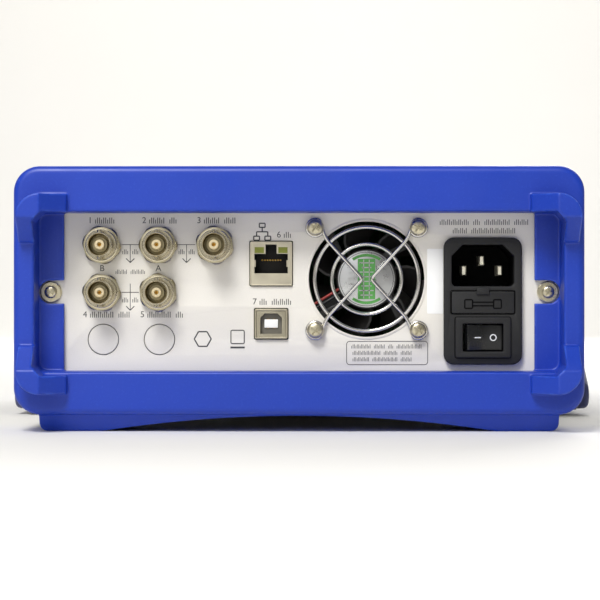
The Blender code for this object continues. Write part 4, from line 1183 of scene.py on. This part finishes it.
KEY_NAMES = [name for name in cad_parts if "key" in name]
WINDOW_HALF = (44, 28)
SCREEN_HALF = (40.5, 24.5)
WAVE_SIGNS = {
    "function_key_1": [(3 * step / 12 - 1.5, 1.1 * math.sin(math.pi * step / 6)) for step in range(13)],
    "function_key_2": [(-1.6, -0.9), (-1.6, 0.9), (0, 0.9), (0, -0.9), (1.6, -0.9), (1.6, 0.9)],
    "function_key_3": [(-1.6, -0.9), (0.4, 0.9), (0.4, -0.9), (1.6, 0.2)],
    "function_key_4": [(-1.8, -0.9), (-0.6, -0.9), (-0.6, 0.9), (0.2, 0.9), (0.2, -0.9), (1.8, -0.9)],
    "function_key_5": [(-1.6, 0), (-1.2, 0.8), (-0.9, -0.5), (-0.5, 1.0), (-0.1, -0.9), (0.3, 0.5),
                       (0.7, -1), (1.1, 0.9), (1.6, -0.2)],
    "function_key_6": [(-1.6, -0.9), (-0.2, -0.9), (0.6, 0.9), (1.6, 0.9)],
    "function_key_7": [(-1.4, 0.0), (1.4, 0.0)],
    "function_key_8": [(0.7, 1.0), (-0.7, 0.0), (0.7, -1.0)],
}


def window_outline(more, radius, steps=8):
    half = (WINDOW_HALF[0] + more, WINDOW_HALF[1] + more)
    return rounded_box(half, radius, across("display_window"), steps)


def build_front_panel():
    """The front moulding: a plate with its openings, a wall behind its edge and a frame for the display."""
    low, high = span("front_panel")
    centre = (0, (low.z + high.z) / 2)
    outer = rounded_box(half_size("front_panel"), 5.7, centre, 12)
    holes = [window_outline(0.3, 1.5), circle(5.2, 40, across("knob"))]
    holes += [circle(4.8, 40, across(name)) for name in ("front_bnc_a", "front_bnc_b")]
    holes += [rounded_box(half_size(name, -0.7), 1.6, across(name), 6) for name in KEY_NAMES]
    plate("front_face", [outer, *holes], FRONT + 2.5, FRONT, "front", 0.5, "front_panel")
    inner = rounded_box(half_size("front_panel", -2.5), 3.2, centre, 8)
    plate("front_wall", [outer, inner], high.y, FRONT + 2.0, "front", 0.3)
    surround, opening = window_outline(2.6, 3, 10), window_outline(0.35, 1.4, 6)
    plate("display_frame", [surround, opening], FRONT + 0.2, FRONT - 0.6, "black", 0.25)


def build_display():
    """The window, the lit field behind it with its grid, and two waveforms."""
    low, high = span("display_window")
    x, z = centre = across("display_window")
    pane = rounded_box(half_size("display_window"), 1.2, centre, 6)
    plate("window_pane", [pane], high.y, low.y, "glass", 0.25, "display_window", "window_glass")
    face = span("lcd_module")[0].y
    field = prism(rounded_box(SCREEN_HALF, 0.6, centre, 3), face - 0.06, face - 0.01)
    piece("screen_field", field, "screen")
    half = SCREEN_HALF[0]
    columns = [x - half + 2 * half * index / 10 for index in range(1, 10)]
    lines = [bar((column, z - 17), (column, z + 20), 0.14) for column in columns]
    for index in range(7):
        row = z - 17 + 37 * index / 6
        lines.append(bar((x - half * 0.97, row), (x + half * 0.97, row), 0.14))
    ink("screen_grid", lines, "screen_grid", face - 0.10)
    sine = [(2 * step / 90 - 1, 9.5 + 8.5 * math.sin(5 * math.pi * step / 90)) for step in range(91)]
    square = []
    for step in range(6):
        level = -7.5 + (6.0 if step % 2 else -6.0)
        square += [(step / 3 - 1, level), ((step + 1) / 3 - 1, level)]
    for name, wave in (("trace", sine), ("trace_b", square)):
        points = [(x + half * 0.94 * along, z + height) for along, height in wave]
        ink(f"screen_{name}", line_bars(points, 0.55), name, face - 0.14)
    boxes = []
    for index in range(1, 6):
        place = (middle(f"soft_key_{index}").x, z - 21.3)
        boxes += outline_bars(rounded_box((7.2, 2.2), 0.6, place, 3), 0.3)
    ink("screen_boxes", boxes, "screen_grid", face - 0.14)


def key_sign(name):
    """A plain sign for a key, as outlines about its centre."""
    if name in WAVE_SIGNS:
        return line_bars(WAVE_SIGNS[name], 0.32)
    if name == "standby_key":
        return ring_bars((0, 0), 1.9, 0.4, 24, 125, 415) + [bar((0, 0.6), (0, 2.5), 0.4)]
    if name.startswith("output_key"):
        return ring_bars((0, 0), 1.3, 0.35, 24)
    return [bar((-0.9, 0), (0.9, 0), 0.35)]


def build_keys():
    """Rubber keys with crowned tops, each on a flange and a plunger, with a printed sign."""
    for name in KEY_NAMES:
        half, centre, top = half_size(name, -1), across(name), span(name)[0].y
        round_key = abs(half[0] - half[1]) < 0.5
        corner = 2.2 if round_key else 1.4
        steps = ((FRONT + 5.9, 2.2), (FRONT + 3.9, 2.2), (FRONT + 3.9, -1.0), (FRONT + 2.8, -1.0),
                 (FRONT + 2.8, 0), (FRONT - 1.5, 0.05), (top + 0.35, 0.25), (top + 0.12, 0.55),
                 (top + 0.02, 1.0), (top, 1.8))
        sections = []
        for depth, inset in steps:
            size = (half[0] - inset, half[1] - inset)
            sections.append((depth, rounded_box(size, max(corner - inset, 0.4), centre, 6)))
        material = "standby_key" if round_key else "output_key" if name.startswith("output") else "key"
        body = f"{name}_body"
        piece(f"{name}_cap", loft(sections), material, name, body=body)
        sign = [shifted(shape, centre) for shape in key_sign(name)]
        colour = "print" if round_key else "pale_print"
        ink(f"{name}_sign", sign, colour, top - 0.01, slot=SLOTS[material], body=body)


def fluted(radius, depth):
    """A circle with shallow flutes."""
    steps, flutes = 144, 24
    points = []
    for step in range(steps):
        turn = 2 * math.pi * step / steps
        dip = depth * (0.5 - 0.5 * math.cos(flutes * turn)) ** 2
        points.append(((radius - dip) * math.cos(turn), (radius - dip) * math.sin(turn)))
    return points


def build_knob():
    """The knob: a plain skirt, a fluted grip, and a dished cap with a finger dimple."""
    x, z = centre = across("knob")
    low = span("knob")[0].y
    skirt = ((6.4, 2.9), (-0.3, 2.9), (-0.3, 15.7), (-0.6, 16.0), (-1.9, 16.0), (-2.3, 15.6), (-2.6, 14.0))
    piece("knob_skirt", turned(outward(skirt, FRONT), 96, centre), "knob", "knob", body="knob")
    grip = ((FRONT - 2.4, 14.4, 0.5), (low + 2.6, 13.9, 0.5), (low + 1.2, 13.6, 0.4), (low + 0.5, 13.1, 0.2),
            (low + 0.15, 12.5, 0.0))
    sections = [(depth, shifted(fluted(radius, dip), centre)) for depth, radius, dip in grip]
    piece("knob_grip", loft(sections), "grip", body="knob", slot="knob_plastic")
    cap = ((3.0, 11.6), (0.3, 11.6), (0, 11.3), (0, 10.9), (0.35, 10.2), (0.6, 7.0), (0.7, 3.0))
    dent = ((-2.4, 4.5), (0.2, 3.6), (1.2, 2.2), (1.5, 0.8))
    dimple = turned(outward(dent, low), 48, (x, z + 6.6))
    piece("knob_cap", turned(outward(cap, low), 96, centre), "knob", cut=dimple, body="knob")


def print_front_panel():
    """Plain numbers and rules on the front panel."""
    depth = FRONT - 0.03
    shapes = []
    for text, node, key in (("1", "front_bnc_a", "output_key_a"), ("2", "front_bnc_b", "output_key_b")):
        x, z = across(node)
        label(f"number_{text}", text, (x, z + 10.0), depth, 3.6)
        shapes += outline_bars(rounded_box((10.6, 9.0), 2.2, (x, z + 0.4), 5), 0.25)
        shapes.append(bar((x, z + 12.6), (x, middle(key).z - 5.2), 0.25))
    shapes += [bar((14, row), (36, row), 0.22) for row in (77.4, 63.4, 49.4, 35.4)]
    ink("front_rules", shapes, depth=depth, rise=0.02)


# ---- handle


def build_handle():
    """The folding handle: arms and bar in one moulding, and a ribbed soft sleeve on the bar."""
    moulding = link_object("handle_moulding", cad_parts["handle_frame"].data.copy())
    soften(moulding, 0.8 * MM, 6, 0.5)
    settle(moulding, "handle", "handle", "handle_frame")
    low, high = span("handle_grip")
    place, half = middle("handle_grip")[1:], (high.x - low.x) / 2
    ribs = 34
    pitch = (2 * half - 2.4) / ribs
    inner = rounded_box((7.3, 2.5), 1.9, place)
    end = rounded_box((8.8, 3.3), 2.6, place)
    sections = [(-half, inner), (-half, end)]
    for index in range(ribs):
        for share, shrink in ((0.0, 0.35), (0.2, 0.0), (0.75, 0.0), (0.95, 0.35)):
            outline = rounded_box((9.3 - shrink, 3.8 - shrink), 3.0 - shrink, place)
            sections.append((pitch * (index + share) + 1.2 - half, outline))
    sections += [(half, end), (half, inner)]
    piece("grip_sleeve", loft(sections, "X", closed=True), "grip", "handle_grip", body="handle")
    profile = ((106.8, 15.6), (107.1, 16.0), (114.3, 16.0), (114.7, 15.6), (114.7, 8.0), (124.8, 8.0),
               (125.4, 7.5), (125.5, 6.8), (125.5, 5.2), (124.9, 4.9), (124.9, 0.6))
    for node, side in (("handle_pivot_left", -1), ("handle_pivot_right", 1)):
        disc = turned(outward(profile, 0, side), 72, middle(node)[1:], "X")
        piece(f"{node}_disc", disc, "handle", node)


# ---- inside


def dress_inside():
    """Better finishes on the parts that keep their plain shape inside the case."""
    finishes = {
        "main_board": "board", "power_board": "board", "front_board": "board", "transformer": "core",
        "heatsink": "aluminium", "encoder": "core", "lcd_module": "black",
    }
    for node, finish in finishes.items():
        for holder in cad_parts[node].material_slots:
            holder.material = LOOKS[finish]


# ---- studio, in metres


FLOOR_HALF, FLOOR_NEAR, WALL_FROM, WALL_BEND, WALL_TOP = 3.0, 3.0, -1.9, 0.6, 2.4
PANEL_POINT = (0.0, 0.134, 0.05)
# Each light's name, place, target, size and power.
LIGHTS = (
    ("key", (0.25, 0.80, 0.90), PANEL_POINT, (0.35, 0.35), 9.5),
    ("tall_box", (0.45, 1.25, 0.75), PANEL_POINT, (1.0, 1.2), 4.5),
    ("backdrop", (0.0, -1.3, 1.6), (0.0, -2.4, 0.3), (1.8, 1.6), 26.0),
    ("front_box", (-0.5, -1.35, 0.8), (0.0, -0.15, 0.05), (0.8, 0.8), 11.0),
)


def aim(item, place, target):
    item.location = place
    item.rotation_euler = (Vector(target) - item.location).to_track_quat("-Z", "Y").to_euler()


def build_floor():
    """A pale floor that sweeps up into a wall beyond the front side."""
    turns = [math.radians(9 * step) for step in range(11)]
    bend = [(WALL_FROM - WALL_BEND * math.sin(turn), WALL_BEND * (1 - math.cos(turn))) for turn in turns]
    profile = [(FLOOR_NEAR, 0.0), *bend, (WALL_FROM - WALL_BEND, WALL_TOP)]
    mesh = bmesh.new()
    rows = [[mesh.verts.new((side * FLOOR_HALF, y, z)) for side in (-1, 1)] for y, z in profile]
    for row, following in zip(rows, rows[1:]):
        mesh.faces.new((row[0], row[1], following[1], following[0]))
    bmesh.ops.recalc_face_normals(mesh, faces=mesh.faces)
    floor = solid("floor", mesh)
    floor.data.shade_smooth()
    finish = Finish("studio_floor", 0.75).colour((0.88, 0.865, 0.83, 1.0), 0.01, 3.0).grain(40.0, 0.02)
    floor.data.materials.append(finish.material)


def build_studio():
    """The floor, a dim warm world, four soft lights and the camera behind the rear panel."""
    build_floor()
    world = bpy.data.worlds.new("studio")
    world.use_nodes = True
    background = world.node_tree.nodes["Background"]
    background.inputs["Color"].default_value = (1.0, 0.98, 0.94, 1.0)
    background.inputs["Strength"].default_value = 0.25
    bpy.context.scene.world = world
    for name, place, target, size, power in LIGHTS:
        light = bpy.data.lights.new(name, "AREA")
        light.shape = "RECTANGLE"
        light.size, light.size_y = size
        light.energy = power
        aim(link_object(name, light), place, target)
    camera = bpy.data.cameras.new("camera")
    camera.sensor_width = 36.0
    camera.lens = 122.5
    item = link_object("camera", camera)
    aim(item, (-0.0081, 0.930, 0.0506), (-0.0005, 0.150, 0.0506))
    bpy.context.scene.camera = item


build_rear_bumper()
build_front_bumper()
build_case()
build_rear_panel()
build_coaxial_sockets()
build_screws()
build_fan_frame()
build_hub_label()
build_impeller()
build_guard()
build_fan_wires()
build_lan_jack()
build_usb_socket()
build_inlet()
build_drawer()
build_rocker()
print_rear_panel()
build_front_panel()
build_display()
build_keys()
build_knob()
print_front_panel()
build_handle()
dress_inside()
build_studio()
bpy.context.scene.view_settings.view_transform = "Standard"
